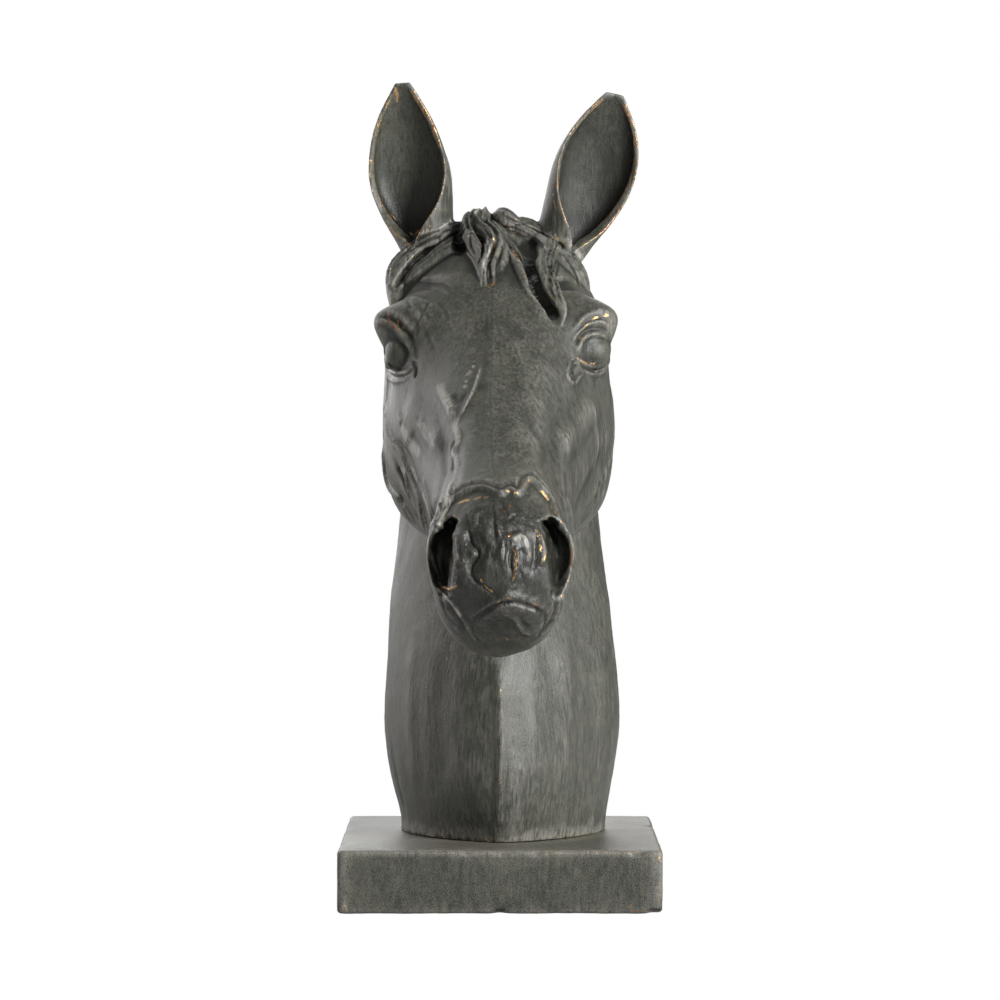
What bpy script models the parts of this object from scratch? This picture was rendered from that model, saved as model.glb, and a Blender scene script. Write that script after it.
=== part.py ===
"""Horse head bust: a cast figure of a horse's head and neck, standing on a plain rectangular plinth.

The front looks along -Y, +Z is up, and the origin is the middle of the plinth's underside.
"""

import math

import bmesh
import bpy
import numpy as np

# Driving sizes, in metres.
FIGURE_HEIGHT = 0.547  # from the plinth's top to the tip of the taller ear
PLINTH_HEIGHT = 0.045
SIDE_LEDGE = 0.0418  # bare plinth on either side of the neck's foot
FRONT_LEDGE = 0.052
BACK_LEDGE = 0.018
PLINTH_EDGE = 0.0025  # radius worn onto the plinth's edges
SEAT_GAP = 0.0003  # between the neck's foot and the plinth
EAR_WALL = 0.0042

# The figure is a free form: its carving is given in millimetres of a figure 547 mm tall,
# and every one of them is this share of the figure's height.
MM = FIGURE_HEIGHT / 547

SKIN_VOXEL = 1.9 * MM  # how finely the joined forms are cast into one skin
FIGURE_TRIANGLES = 8400

SUNK = 8  # the neck runs on this far below the plinth's top before it is cut off flat

# The head's own frame: s runs down the face from the poll to the lips, t stands out of the face.
HEAD_TILT = math.radians(55)  # face line from the vertical
POLL = (25, 442)  # behind the plinth's middle, and above its top
POLL_LEAN = 5  # how far the poll leans to the viewer's left of it
LEAN_REACH = 110  # s over which that lean dies away down the face
FACE_DOWN = np.array([0, -math.sin(HEAD_TILT), -math.cos(HEAD_TILT)])
FACE_OUT = np.array([0, -math.cos(HEAD_TILT), math.sin(HEAD_TILT)])
CORE = -70  # t of the line through the middle of the head, round which the forelock is laid

# Sections of the head from the poll to the lips: the face line's s and t, the jaw line's s and t,
# then half widths at WIDTH_PLACES on the way from one line to the other.
WIDTH_PLACES = (0.04, 0.18, 0.38, 0.6, 0.82, 0.96)
HEAD_SECTIONS = (
    (-10, -22, 16, -84, 10, 24, 34, 34, 26, 11),
    (4, 6, 24, -118, 18, 45, 62, 64, 52, 26),
    (38, 12, 50, -146, 27, 60, 78, 80, 70, 40),
    (78, 13, 88, -160, 33, 64, 79, 84, 80, 52),
    (118, 10, 128, -166, 34, 62, 76, 83, 80, 56),
    (158, 4, 166, -162, 30, 53, 69, 77, 74, 50),
    (198, -1, 200, -150, 26, 43, 57, 63, 58, 38),
    (238, -5, 235, -134, 22, 35, 48, 52, 47, 31),
    (276, -7, 270, -120, 20, 33, 43, 44, 37, 24),
    (312, -6, 304, -116, 21, 38, 46, 43, 33, 18),
    (342, -10, 332, -124, 21, 41, 47, 43, 32, 14),
    (364, -22, 352, -124, 18, 36, 43, 41, 30, 14),
    (379, -40, 366, -110, 12, 24, 32, 32, 25, 13),
    (385, -62, 376, -90, 4, 8, 11, 11, 9, 5),
)

# Sections of the neck from below its foot to the poll: height above the plinth, x of its middle,
# y of the front keel and of the crest, then half widths at NECK_PLACES from front to back.
# The second section is the neck's foot on the plinth.
NECK_PLACES = (0.05, 0.22, 0.44, 0.66, 0.86, 0.96)
NECK_SECTIONS = (
    (-SUNK, 2, -77, 111, 20, 53, 72, 71, 50, 26),
    (0, 2, -78, 112, 20, 53, 72.5, 71.5, 50, 26),
    (14, 2, -81, 115, 21, 54, 73.5, 72.5, 51, 26),
    (45, 1.5, -85, 119, 23, 58, 79.5, 79.5, 55, 27),
    (85, 1.5, -82, 123, 24, 60, 83, 83, 57, 28),
    (125, 1, -74, 126, 24, 59, 81, 80.5, 56, 27),
    (170, 0, -58, 127, 24, 56, 77.5, 77.5, 54, 26),
    (215, -0.5, -38, 125, 23, 53, 71.5, 72.5, 51, 25),
    (260, -1, -16, 120, 22, 50, 68, 69, 50, 24),
    (305, -2, 0, 112, 21, 46, 62, 62, 46, 22),
    (350, -3, 6, 102, 19, 42, 56, 56, 41, 19),
    (395, -4, 10, 85, 16, 36, 47, 46, 34, 15),
    (425, -5, 14, 62, 11, 25, 32, 31, 22, 10),
    (440, -5, 22, 44, 4, 9, 12, 12, 8, 4),
)

EYE = (65, 120, -31)  # middle of the right eyeball, in the head's frame
EYE_RADIUS = 15
EYE_LOOK = (0.86, 0.36, 0.22)  # the way it looks, and the way to its inner corner
EYE_CORNER = (-0.36, 0.92, 0.1)
LID = 2.6  # radius of the lids' roll
LID_REACH = (21, 16)  # from the eyeball's middle to the inner and the outer corner
LID_OPEN = (12, 10.5)  # and to the upper and the lower lid

# Each ear: x, y and height of places along it, from its root to its tip.
EARS = {
    -1: ((-47, 20, 409), (-56.4, 21, 443), (-67.6, 18, 490), (-71.5, 12, 547)),
    1: ((35, 20, 409), (51.2, 21, 443), (70.8, 18, 488), (84, 12, 538.5)),
}
# Along an ear from root to tip: half width, depth as a share of it, how far the wall wraps round
# from the back, and how far the opening turns outwards, in degrees.
EAR_SECTIONS = {
    -1: (
        (15, 0.95, 194, 36),
        (18, 0.95, 184, 36),
        (21, 0.95, 160, 35),
        (25.8, 0.9, 123, 30),
        (29, 0.85, 108, 20),
        (25.8, 0.8, 100, 12),
        (17.4, 0.75, 95, 8),
        (4, 0.7, 88, 8),
    ),
    1: (
        (15, 0.95, 194, 36),
        (18, 0.95, 184, 36),
        (20.5, 0.95, 160, 35),
        (25, 0.9, 123, 30),
        (28.7, 0.85, 108, 20),
        (27.4, 0.8, 100, 12),
        (19.5, 0.75, 95, 8),
        (5, 0.7, 88, 8),
    ),
}

# Locks of the forelock: half width, height, then the way each one lies on the skull, as degrees
# round the head from the face line, s, and lift from the skin.
FORELOCK = (
    (11, 10, ((-8, -10, 3), (-13, 12, 5), (-13, 38, 3), (-10, 62, 2), (-6, 84, 1), (-7, 108, -1))),
    (12, 10, ((-4, -10, 3), (8, 14, 5), (19, 40, 5), (23, 68, 4), (23, 98, 3), (31, 142, -1))),
    (17, 9, ((0, -12, 2), (17, 8, 3), (31, 26, 2), (41, 52, 1), (44, 90, -4))),
    (16, 9, ((6, -16, -2), (26, -2, 2), (42, 12, 4), (54, 34, 5), (59, 68, -2))),
    (14, 12, ((-8, -8, 2), (-22, 10, 3), (-38, 14, 6), (-52, 27, 9), (-57, 46, 7), (-58, 78, -3))),
    (12, 8, ((-9, 2, 0), (-22, 30, 0), (-34, 52, 1), (-44, 72, 1), (-50, 92, -3))),
    (14, 8, ((-6, -6, 0), (-24, -4, 0), (-40, 2, 0), (-54, 14, 0))),
)

# Locks of the mane, each lying back and down from the crest: height above the plinth of its root.
MANE_ROOTS = (444, 412, 372, 330, 288, 246, 204, 162, 122)
LOCK_DROP = 78

# Relief: how far it stands out (or is cut in), its reach, and its way, in the head's frame.
# Each is made on both sides.
RELIEF = (
    (3.5, 9, ((62, 152, -50), (52, 196, -44), (42, 232, -33))),  # facial crest
    (-4.0, 15, ((44, 66, 2), (54, 80, -4))),  # hollow over the eye
    (-2.5, 4, ((53, 145, -24), (51, 152, -23))),  # inner corner of the eye
    (-3.5, 4, ((0, 381, -64), (12, 379, -66), (19, 375, -75), (25, 368, -84))),  # lips, in front
    (-3.0, 4, ((25, 368, -84), (33, 358, -84), (41, 344, -80), (42, 324, -80))),  # lips, at the side
    (2.5, 5, ((8, 314, -6), (28, 318, -14), (42, 330, -26))),  # hood over the nostril
    (3.0, 4, ((27, 344, -18), (29, 356, -34), (29, 364, -50))),  # inner wing of the nostril
    (-2.5, 12, ((30, 250, -60), (44, 210, -84), (52, 180, -92))),  # cheek's hollow
    (-3.0, 7, ((66, 60, -120), (76, 100, -150), (58, 140, -166))),  # behind the jaw
)

# Swellings of the head's skin: its side, middle, reach and push.
SWELLINGS = (
    (-1, (66, 107, -17), (28, 24, 22), (25, -2, 9)),  # brow on the viewer's left
    (1, (66, 105, -17), (28, 26, 22), (23, -3, 9)),  # brow on the right
    (-1, (82, 90, -74), (16, 34, 26), (-5, 0, 0)),  # hollow under the left eye
    (-1, (45, 336, -42), (16, 24, 22), (3, 3, 2)),  # nostrils' wings
    (1, (45, 336, -42), (16, 24, 22), (3, 3, 2)),
)

# The nostril's hollow: its way, its reach, and how it is sunk into the muzzle.
NOSTRIL = ((33, 337, -25), (34, 342, -32), (34, 348, -39), (34, 353, -46), (32, 357, -52))
NOSTRIL_REACH = 12
NOSTRIL_SUNK = (-3, -21, -12)


def head_point(points):
    """Points (x, s, t) of the head's frame, in figure millimetres, put in the figure's space."""
    x, s, t = np.moveaxis(np.asarray(points, float), -1, 0)
    placed = s[..., None] * FACE_DOWN + t[..., None] * FACE_OUT
    placed[..., 0] += x - POLL_LEAN * np.exp(-((s / LEAN_REACH) ** 2))
    placed[..., 1] += POLL[0]
    placed[..., 2] += POLL[1]
    return placed


def spline_cage(points, closed):
    """Corners of the cubic B-spline cage whose curve passes through the points, along the first axis."""
    points = np.asarray(points, float)
    count = len(points)
    if closed:
        matrix = (4 * np.eye(count) + np.roll(np.eye(count), 1, 0) + np.roll(np.eye(count), -1, 0)) / 6
    else:
        matrix = (4 * np.eye(count) + np.eye(count, k=1) + np.eye(count, k=-1)) / 6
        matrix[0], matrix[-1] = 0, 0
        matrix[0, 0] = matrix[-1, -1] = 1
    return np.linalg.solve(matrix, points.reshape(count, -1)).reshape(points.shape)


def through(points, steps, closed=False):
    """A smooth curve through the points of the first axis, read at that many steps."""
    cage = spline_cage(points, closed)
    count = len(cage)
    if closed:
        at = np.arange(steps) * count / steps
        wide = np.concatenate([cage[-1:], cage, cage[:3]])
    else:
        at = np.linspace(0, count - 1, steps)
        wide = np.concatenate([[2 * cage[0] - cage[1]], cage, [2 * cage[-1] - cage[-2]]])
    cell = np.minimum(at.astype(int), len(wide) - 4)
    u = (at - cell).reshape((-1,) + (1,) * (wide.ndim - 1))
    weights = ((1 - u) ** 3, 3 * u**3 - 6 * u**2 + 4, -3 * u**3 + 3 * u**2 + 3 * u + 1, u**3)
    return sum(weight * wide[cell + i] for i, weight in enumerate(weights)) / 6


def unit(vectors):
    """The vectors of the last axis, each at a length of one."""
    return vectors / np.linalg.norm(vectors, axis=-1, keepdims=True)


def closed_shape(rings):
    """Points and faces of a grid of rings, each end closed by one point in the middle of its ring."""
    rings = np.asarray(rings, float)
    rows, columns = rings.shape[:2]
    points = np.concatenate([rings.reshape(-1, 3), [rings[0].mean(0), rings[-1].mean(0)]])
    start, last = rows * columns, (rows - 1) * columns
    faces = []
    for column in range(columns):
        after = (column + 1) % columns
        faces.append((start, after, column))
        faces.append((start + 1, last + column, last + after))
        for row in range(0, last, columns):
            faces.append((row + column, row + after, row + columns + after, row + columns + column))
    return points, faces


def way_distance(points, way):
    """Distance of every point from the nearest piece of a way of straight runs."""
    nearest = np.full(len(points), np.inf)
    for start, end in zip(way[:-1], way[1:]):
        run = end - start
        along = np.clip((points - start) @ run / (run @ run), 0, 1)
        gap = np.linalg.norm(points - start - along[:, None] * run, axis=1)
        nearest = np.minimum(nearest, gap)
    return nearest


def both_sides(way):
    """A way of the head's frame and its mirror image, each smoothed and put in the figure's space."""
    for side in (-1, 1):
        yield side, head_point(through(np.array(way) * (side, 1, 1), 4 * len(way)))


def swell(points, side, centre, reach, push):
    """Points moved by push, most at the centre and fading over the reach, mirrored for side -1."""
    gap = (points - np.array(centre) * (side, 1, 1)) / np.array(reach)
    return points + np.exp(-(gap**2).sum(-1, keepdims=True)) * np.array(push) * (side, 1, 1)


def mirrored_ring(right):
    """A closed ring from the points of its right half, the first and last of them on x = 0."""
    return [*right, *((-x, s, t) for x, s, t in right[-2:0:-1])]


def head_form(rows, columns):
    """The head's surface in its own frame: its sections joined smoothly, then swelled."""
    rings = []
    for top_s, top_t, jaw_s, jaw_t, *halves in HEAD_SECTIONS:
        right = [(0, top_s, top_t)]
        for half, place in zip(halves, WIDTH_PLACES):
            right.append((half, top_s + (jaw_s - top_s) * place, top_t + (jaw_t - top_t) * place))
        right.append((0, jaw_s, jaw_t))
        rings.append(mirrored_ring(right))
    lengthwise = through(rings, rows)
    points = np.swapaxes(through(np.swapaxes(lengthwise, 0, 1), columns, closed=True), 0, 1)
    for swelling in SWELLINGS:
        points = swell(points, *swelling)
    return points


def head_rings(form):
    """The head's surface with its nostrils sunk, in the figure's space."""
    points = form.copy()
    placed = head_point(points).reshape(-1, 3)
    for side, way in both_sides(NOSTRIL):
        near = way_distance(placed, way).reshape(points.shape[:2]) / NOSTRIL_REACH
        points += np.exp(-(near**4))[..., None] * np.array(NOSTRIL_SUNK) * (side, 1, 1)
    return head_point(points)


def on_skull(form, way):
    """Points of a way given round the head, along it, and in lift from its skin."""
    turn, s, lift = np.array(way, float).T
    skin_turn = np.degrees(np.arctan2(form[..., 0], form[..., 2] - CORE))
    skin_reach = np.hypot(form[..., 0], form[..., 2] - CORE)
    near = ((turn[:, None, None] - skin_turn) / 4) ** 2 + ((s[:, None, None] - form[..., 1]) / 6) ** 2
    weight = np.exp(-near)
    reach = (weight * skin_reach).sum((1, 2)) / weight.sum((1, 2)) + lift
    turn = np.radians(turn)
    return head_point(np.stack([reach * np.sin(turn), s, CORE + reach * np.cos(turn)], axis=1))


def neck_rings(rows, columns):
    """The neck's surface, from its foot on the plinth up into the skull."""
    rings = []
    for height, middle, front, back, *halves in NECK_SECTIONS:
        right = [(0, front, height)]
        for half, place in zip(halves, NECK_PLACES):
            right.append((half, front + (back - front) * place, height))
        right.append((0, back, height))
        rings.append(np.array(mirrored_ring(right)) + (middle, 0, 0))
    lengthwise = through(rings, rows)
    return np.swapaxes(through(np.swapaxes(lengthwise, 0, 1), columns, closed=True), 0, 1)


def ear_rings(side, rows, columns):
    """One ear: a wall that wraps round from the back and leaves its front open, narrowing to a tip."""
    way = through(EARS[side], rows)
    rise = unit(np.gradient(way, axis=0))
    half, share, wrap, turn = through(EAR_SECTIONS[side], rows).T
    turn = np.radians(turn) * side
    facing = np.stack([np.sin(turn), -np.cos(turn), np.zeros(rows)], axis=1)
    facing = unit(facing - (facing * rise).sum(1, keepdims=True) * rise)
    across = np.cross(rise, facing)
    outer = np.radians(wrap)[:, None] * np.linspace(-1, 1, columns)
    round_wall = np.concatenate([outer, outer[:, ::-1]], axis=1)[..., None]
    offset = np.repeat([0.5, -0.5], columns)[:, None] * EAR_WALL / MM
    wide = np.maximum(half[:, None, None] + offset, 0.3)
    deep = np.maximum((half * share)[:, None, None] + offset, 0.3)
    reach = wide * np.sin(round_wall) * across[:, None] - deep * np.cos(round_wall) * facing[:, None]
    return way[:, None] + reach


def lock_rings(way, half, height, out, sides):
    """A lock of hair: an oval carried along its way, full at the root and drawn out to a point."""
    rows = 5 * len(way)
    way = through(way, rows)
    along = unit(np.gradient(way, axis=0))
    out = unit(out(way) - (out(way) * along).sum(1, keepdims=True) * along)
    across = np.cross(along, out)
    place = np.linspace(0, 1, rows)[:, None, None]
    full = np.clip(np.sin(math.pi * (0.2 + 0.8 * place)) ** 0.7 * (1 - 0.35 * place), 0.08, 1)
    angle = np.linspace(0, 2 * math.pi, sides, endpoint=False)[:, None]
    oval = half * np.cos(angle) * across[:, None] + height * np.sin(angle) * out[:, None]
    return way[:, None] + full * oval


def from_core(way):
    """The way out of the head at each point, square to the line through its middle."""
    s = (way - head_point((0, 0, CORE))) @ FACE_DOWN
    return way - head_point(np.stack([0 * s, s, 0 * s + CORE], axis=1))


def from_crest(way):
    """The way out of the neck's crest at each point."""
    return way * (1, 0, 0) + (0, 40, 0)


def mane_way(number, root):
    """The way of one lock of the mane: out of the crest, then down one side of it."""
    side = -1 if number % 2 else 1
    heights = np.array([section[0] for section in NECK_SECTIONS])
    crest = np.array([section[3] for section in NECK_SECTIONS])
    way = []
    for place, aside in ((0, 2), (0.3, 7), (0.65, 17), (1, 22)):
        height = root - LOCK_DROP * place
        back = np.interp(height, heights, crest)
        way.append((side * aside, back - 3 - 0.011 * aside**2, height))
    return way


def ball(centre, radius):
    """Points and faces of the eyeball, a plain sphere."""
    shape = bmesh.new()
    bmesh.ops.create_uvsphere(shape, u_segments=24, v_segments=16, radius=radius)
    points = np.array([vert.co for vert in shape.verts]) + centre
    faces = [tuple(vert.index for vert in face.verts) for face in shape.faces]
    shape.free()
    return points, faces


def lid_roll(side, steps, sides):
    """The lids of one eye: a round roll that lies on the eyeball, drawn out to the two corners."""
    look, corner = unit(np.array(EYE_LOOK)), np.array(EYE_CORNER)
    corner = unit(corner - (corner @ look) * look)
    brow = np.cross(corner, look)
    angle = np.linspace(0, 2 * math.pi, steps, endpoint=False)
    long = np.where(np.cos(angle) > 0, *LID_REACH) * np.cos(angle)
    tall = np.where(np.sin(angle) > 0, *LID_OPEN) * np.sin(angle)
    rest = (EYE_RADIUS + 0.5) ** 2 - long**2 - tall**2
    ahead = np.sqrt(np.maximum(rest, 16))
    way = EYE + ahead[:, None] * look + long[:, None] * corner + tall[:, None] * brow
    way = head_point(way * (side, 1, 1))
    along = unit(np.roll(way, -1, 0) - np.roll(way, 1, 0))
    out = way - head_point(np.array(EYE) * (side, 1, 1))
    out = unit(out - (out * along).sum(1, keepdims=True) * along)
    across = np.cross(along, out)
    turn = np.linspace(0, 2 * math.pi, sides, endpoint=False)[:, None]
    points = way[:, None] + LID * (np.cos(turn) * out[:, None] + np.sin(turn) * across[:, None])
    faces = []
    for step in range(steps):
        for part in range(sides):
            here, there = step * sides, (step + 1) % steps * sides
            after = (part + 1) % sides
            faces.append((here + part, here + after, there + after, there + part))
    return points.reshape(-1, 3), faces


def joined_mesh(shapes):
    """One mesh holding all the shapes, at its real size in metres and standing on the plinth's top."""
    points, faces, start = [], [], 0
    for shape_points, shape_faces in shapes:
        points.append(shape_points)
        faces += [tuple(start + corner for corner in face) for face in shape_faces]
        start += len(shape_points)
    mesh = bpy.data.meshes.new("forms")
    mesh.from_pydata((np.concatenate(points) * MM).tolist(), [], faces)
    return mesh


def evaluated_mesh(obj):
    """The object's mesh with its modifiers applied."""
    bpy.context.view_layer.update()
    return bpy.data.meshes.new_from_object(obj.evaluated_get(bpy.context.evaluated_depsgraph_get()))


def carve(mesh):
    """Raise and cut the relief along its ways, straight out of the skin."""
    count = len(mesh.vertices)
    points, normals = np.empty(3 * count), np.empty(3 * count)
    mesh.vertices.foreach_get("co", points)
    mesh.vertices.foreach_get("normal", normals)
    points, normals = points.reshape(-1, 3) / MM, normals.reshape(-1, 3)
    raised = np.zeros(count)
    for push, reach, way in RELIEF:
        for _, placed in both_sides(way):
            near = np.clip(way_distance(points, placed) / (2 * reach), 0, 1)
            raised += push * (1 - near**2) ** 3
    points += normals * raised[:, None]
    mesh.vertices.foreach_set("co", (points * MM).ravel())
    mesh.update()


def finish(name, mesh, base_color, roughness, metallic):
    """The finished object of one mesh, with its own material."""
    material = bpy.data.materials.new(name)
    material.use_nodes = True
    shader = material.node_tree.nodes["Principled BSDF"]
    shader.inputs["Base Color"].default_value = (*base_color, 1)
    shader.inputs["Roughness"].default_value = roughness
    shader.inputs["Metallic"].default_value = metallic
    mesh.name = name
    mesh.materials.clear()
    mesh.materials.append(material)
    obj = bpy.data.objects.new(name, mesh)
    collection.objects.link(obj)
    return obj


def make_horse_head():
    """The figure: its forms cast into one skin, carved, and cut flat at the foot."""
    form = head_form(80, 96)
    shapes = [closed_shape(head_rings(form)), closed_shape(neck_rings(60, 64))]
    shapes += [closed_shape(ear_rings(side, 28, 20)) for side in EARS]
    for side in (-1, 1):
        shapes.append(ball(head_point(np.array(EYE) * (side, 1, 1)), EYE_RADIUS))
        shapes.append(lid_roll(side, 36, 10))
    for half, height, way in FORELOCK:
        shapes.append(closed_shape(lock_rings(on_skull(form, way), half, height, from_core, 12)))
    for number, root in enumerate(MANE_ROOTS):
        shapes.append(closed_shape(lock_rings(mane_way(number, root), 17, 8, from_crest, 12)))

    forms = bpy.data.objects.new("forms", joined_mesh(shapes))
    collection.objects.link(forms)
    cast = forms.modifiers.new("cast", "REMESH")
    cast.mode = "VOXEL"
    cast.voxel_size = SKIN_VOXEL
    even = forms.modifiers.new("even", "SMOOTH")
    even.factor = 0.5
    even.iterations = 2
    skin = evaluated_mesh(forms)
    carve(skin)

    forms.modifiers.clear()
    forms.data = skin
    thin = forms.modifiers.new("thin", "DECIMATE")
    thin.ratio = FIGURE_TRIANGLES / sum(len(face.vertices) - 2 for face in skin.polygons)
    figure = evaluated_mesh(forms)
    bpy.data.objects.remove(forms)

    flat = bmesh.new()
    flat.from_mesh(figure)
    cut = bmesh.ops.bisect_plane(
        flat, geom=[*flat.verts, *flat.edges, *flat.faces], dist=0.00001,
        plane_co=(0, 0, 0), plane_no=(0, 0, -1), clear_outer=True,
    )
    rim = [part for part in cut["geom_cut"] if isinstance(part, bmesh.types.BMEdge)]
    bmesh.ops.holes_fill(flat, edges=rim)
    bmesh.ops.triangulate(flat, faces=flat.faces)
    flat.to_mesh(figure)
    flat.free()
    horse = finish("horse_head", figure, (0.035, 0.038, 0.034), 0.5, 0.6)
    horse.location = (0, seat_y, PLINTH_HEIGHT + SEAT_GAP)


def make_plinth():
    """The plinth: a block with worn edges, wider than the neck's foot by the ledges."""
    bpy.ops.mesh.primitive_cube_add(size=1)
    block = bpy.context.object
    mesh = block.data
    mesh.transform(((plinth_width, 0, 0, 0), (0, plinth_depth, 0, 0), (0, 0, PLINTH_HEIGHT, 0), (0, 0, 0, 1)))
    bpy.data.objects.remove(block)
    plinth = finish("plinth", mesh, (0.04, 0.043, 0.038), 0.55, 0.6)
    plinth.location.z = PLINTH_HEIGHT / 2
    worn = plinth.modifiers.new("worn", "BEVEL")
    worn.width = PLINTH_EDGE
    worn.segments = 3


for old in list(bpy.data.objects):
    bpy.data.objects.remove(old)

collection = bpy.data.collections.new("horse_head_bust")
bpy.context.scene.collection.children.link(collection)

foot_front, foot_back, *foot_halves = NECK_SECTIONS[1][2:]
plinth_width = 2 * (max(foot_halves) * MM + SIDE_LEDGE)
plinth_depth = (foot_back - foot_front) * MM + FRONT_LEDGE + BACK_LEDGE
seat_y = -plinth_depth / 2 + FRONT_LEDGE - foot_front * MM
make_horse_head()
make_plinth()
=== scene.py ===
import math

import bmesh
import bpy
import numpy as np
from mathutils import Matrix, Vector
from mathutils.bvhtree import BVHTree


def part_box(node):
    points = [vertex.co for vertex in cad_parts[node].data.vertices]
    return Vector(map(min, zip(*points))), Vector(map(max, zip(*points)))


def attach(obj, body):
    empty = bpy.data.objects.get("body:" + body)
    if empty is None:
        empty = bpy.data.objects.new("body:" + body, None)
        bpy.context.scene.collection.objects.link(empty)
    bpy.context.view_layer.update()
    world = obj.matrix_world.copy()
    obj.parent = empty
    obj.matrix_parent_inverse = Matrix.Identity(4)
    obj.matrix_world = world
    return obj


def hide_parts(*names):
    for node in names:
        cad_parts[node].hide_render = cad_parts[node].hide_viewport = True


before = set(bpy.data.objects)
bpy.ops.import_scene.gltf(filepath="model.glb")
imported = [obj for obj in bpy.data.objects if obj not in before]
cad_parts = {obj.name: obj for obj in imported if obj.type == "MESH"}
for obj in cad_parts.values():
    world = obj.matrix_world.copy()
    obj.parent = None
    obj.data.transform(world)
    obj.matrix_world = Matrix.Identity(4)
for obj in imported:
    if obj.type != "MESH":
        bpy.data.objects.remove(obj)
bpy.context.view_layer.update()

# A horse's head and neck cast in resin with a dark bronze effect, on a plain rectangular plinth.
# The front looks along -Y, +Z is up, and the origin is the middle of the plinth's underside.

# The plinth
# A solid cast block with softly worn, slightly uneven edges and small nicks, in the same finish
# as the figure. It is one closed skin, swept up its sides and drawn in over its top and underside.

PLINTH_LOW, PLINTH_HIGH = (np.array(corner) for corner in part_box("plinth"))
PLINTH_ROUND = 0.0028  # radius of its edges and upright corners
PLINTH_UNEVEN = 0.0003  # how far its faces and edges wander inwards
NICKS = (  # place on the block as shares of its size, radius and depth in metres
    ((0.93, 0.0, 0.97), 0.0050, 0.0012),
    ((0.40, 0.0, 1.00), 0.0040, 0.0008),
    ((0.52, 0.0, 1.00), 0.0060, 0.0007),
    ((0.62, 0.0, 0.99), 0.0035, 0.0009),
    ((0.98, 0.0, 0.04), 0.0060, 0.0014),
    ((0.50, 0.0, 0.02), 0.0050, 0.0008),
    ((0.00, 0.2, 0.98), 0.0060, 0.0012),
    ((1.00, 0.7, 0.99), 0.0070, 0.0012),
    ((0.30, 1.0, 0.98), 0.0060, 0.0012),
)
PLINTH_RUBS = (  # places rubbed down to the metal: half the width of the mark, and its two ends
    (0.0005, (0.36, 0.0, 0.99), (0.70, 0.0, 0.99)),
    (0.0005, (0.905, 0.0, 0.045), (0.985, 0.0, 0.055)),
    (0.0005, (0.895, 0.0, 0.11), (0.95, 0.0, 0.075)),
    (0.0005, (0.48, 0.0, 0.06), (0.53, 0.0, 0.13)),
    (0.0008, (0.915, 0.0, 0.86), (0.945, 0.0, 0.97)),
    (0.0004, (0.46, 0.0, 0.62), (0.51, 0.0, 0.62)),
    (0.0006, (0.15, 0.0, 1.0), (0.21, 0.0, 1.0)),
    (0.0008, (0.0, 0.3, 1.0), (0.0, 0.5, 1.0)),
    (0.0008, (0.4, 1.0, 1.0), (0.6, 1.0, 1.0)),
)
PLINTH_LUMPS = ((0.6, 0.021, 3), (0.3, 0.008, 4), (0.25, 0.0035, 5))  # share, size and random seed
PLINTH_COLUMNS = 420  # points round the block
CORNER_STEPS, EDGE_STEPS, SIDE_STEPS, FLAT_STEPS = 8, 7, 14, 16
FOOT_MIDDLE, FOOT_HALF = (0.002, 0.017), (0.076, 0.098)  # the neck's oval foot, in metres
TOP_BAND = 0.003  # the block is dusty from this far below its top


def closed_faces(rows, columns):
    """Faces of a grid of closed rings, with a fan at each end to one more point: first and last."""
    row, column = np.divmod(np.arange((rows - 1) * columns), columns)
    after = (column + 1) % columns
    start = row * columns
    quads = np.stack([start + column, start + after, start + columns + after, start + columns + column], 1)
    column, after = np.arange(columns), (np.arange(columns) + 1) % columns
    low, high, last = rows * columns, rows * columns + 1, (rows - 1) * columns
    low_fan = np.stack([0 * column + low, after, column], 1)
    high_fan = np.stack([0 * column + high, last + column, last + after], 1)
    return quads.tolist() + low_fan.tolist() + high_fan.tolist()


def closed_skin(rings):
    """Points and faces of rings joined in order, each end closed by the middle of its ring."""
    rings = np.asarray(rings, float)
    points = np.concatenate([rings.reshape(-1, 3), [rings[0].mean(0), rings[-1].mean(0)]])
    return points, closed_faces(*rings.shape[:2])


def lumps(points, size, seed):
    """Soft random lumps about size across, from -1 to 1: random heights at the corners of a cubic
    lattice, blended over each cell by the smooth step 3u^2 - 2u^3 of the place within it."""
    heights = np.random.default_rng(seed).uniform(-1, 1, (32, 32, 32))
    at = np.asarray(points) / size
    cell = np.floor(at).astype(int)
    place = at - cell
    place = place * place * (3 - 2 * place)
    total = np.zeros(len(at))
    for corner in np.ndindex(2, 2, 2):
        share = np.prod(np.where(corner, place, 1 - place), axis=1)
        total += share * heights[tuple(((cell + corner) % 32).T)]
    return total


def new_piece(name, points, faces):
    """A smooth-shaded object of the points and faces, in metres, standing at the origin."""
    mesh = bpy.data.meshes.new(name)
    mesh.from_pydata(np.asarray(points).tolist(), [], faces)
    mesh.shade_smooth()
    piece = bpy.data.objects.new(name, mesh)
    bpy.context.scene.collection.objects.link(piece)
    return piece


def mesh_points(mesh):
    """The mesh's points and their normals, as two arrays."""
    points, normals = np.empty(3 * len(mesh.vertices)), np.empty(3 * len(mesh.vertices))
    mesh.vertices.foreach_get("co", points)
    mesh.vertices.foreach_get("normal", normals)
    return points.reshape(-1, 3), normals.reshape(-1, 3)


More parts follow.
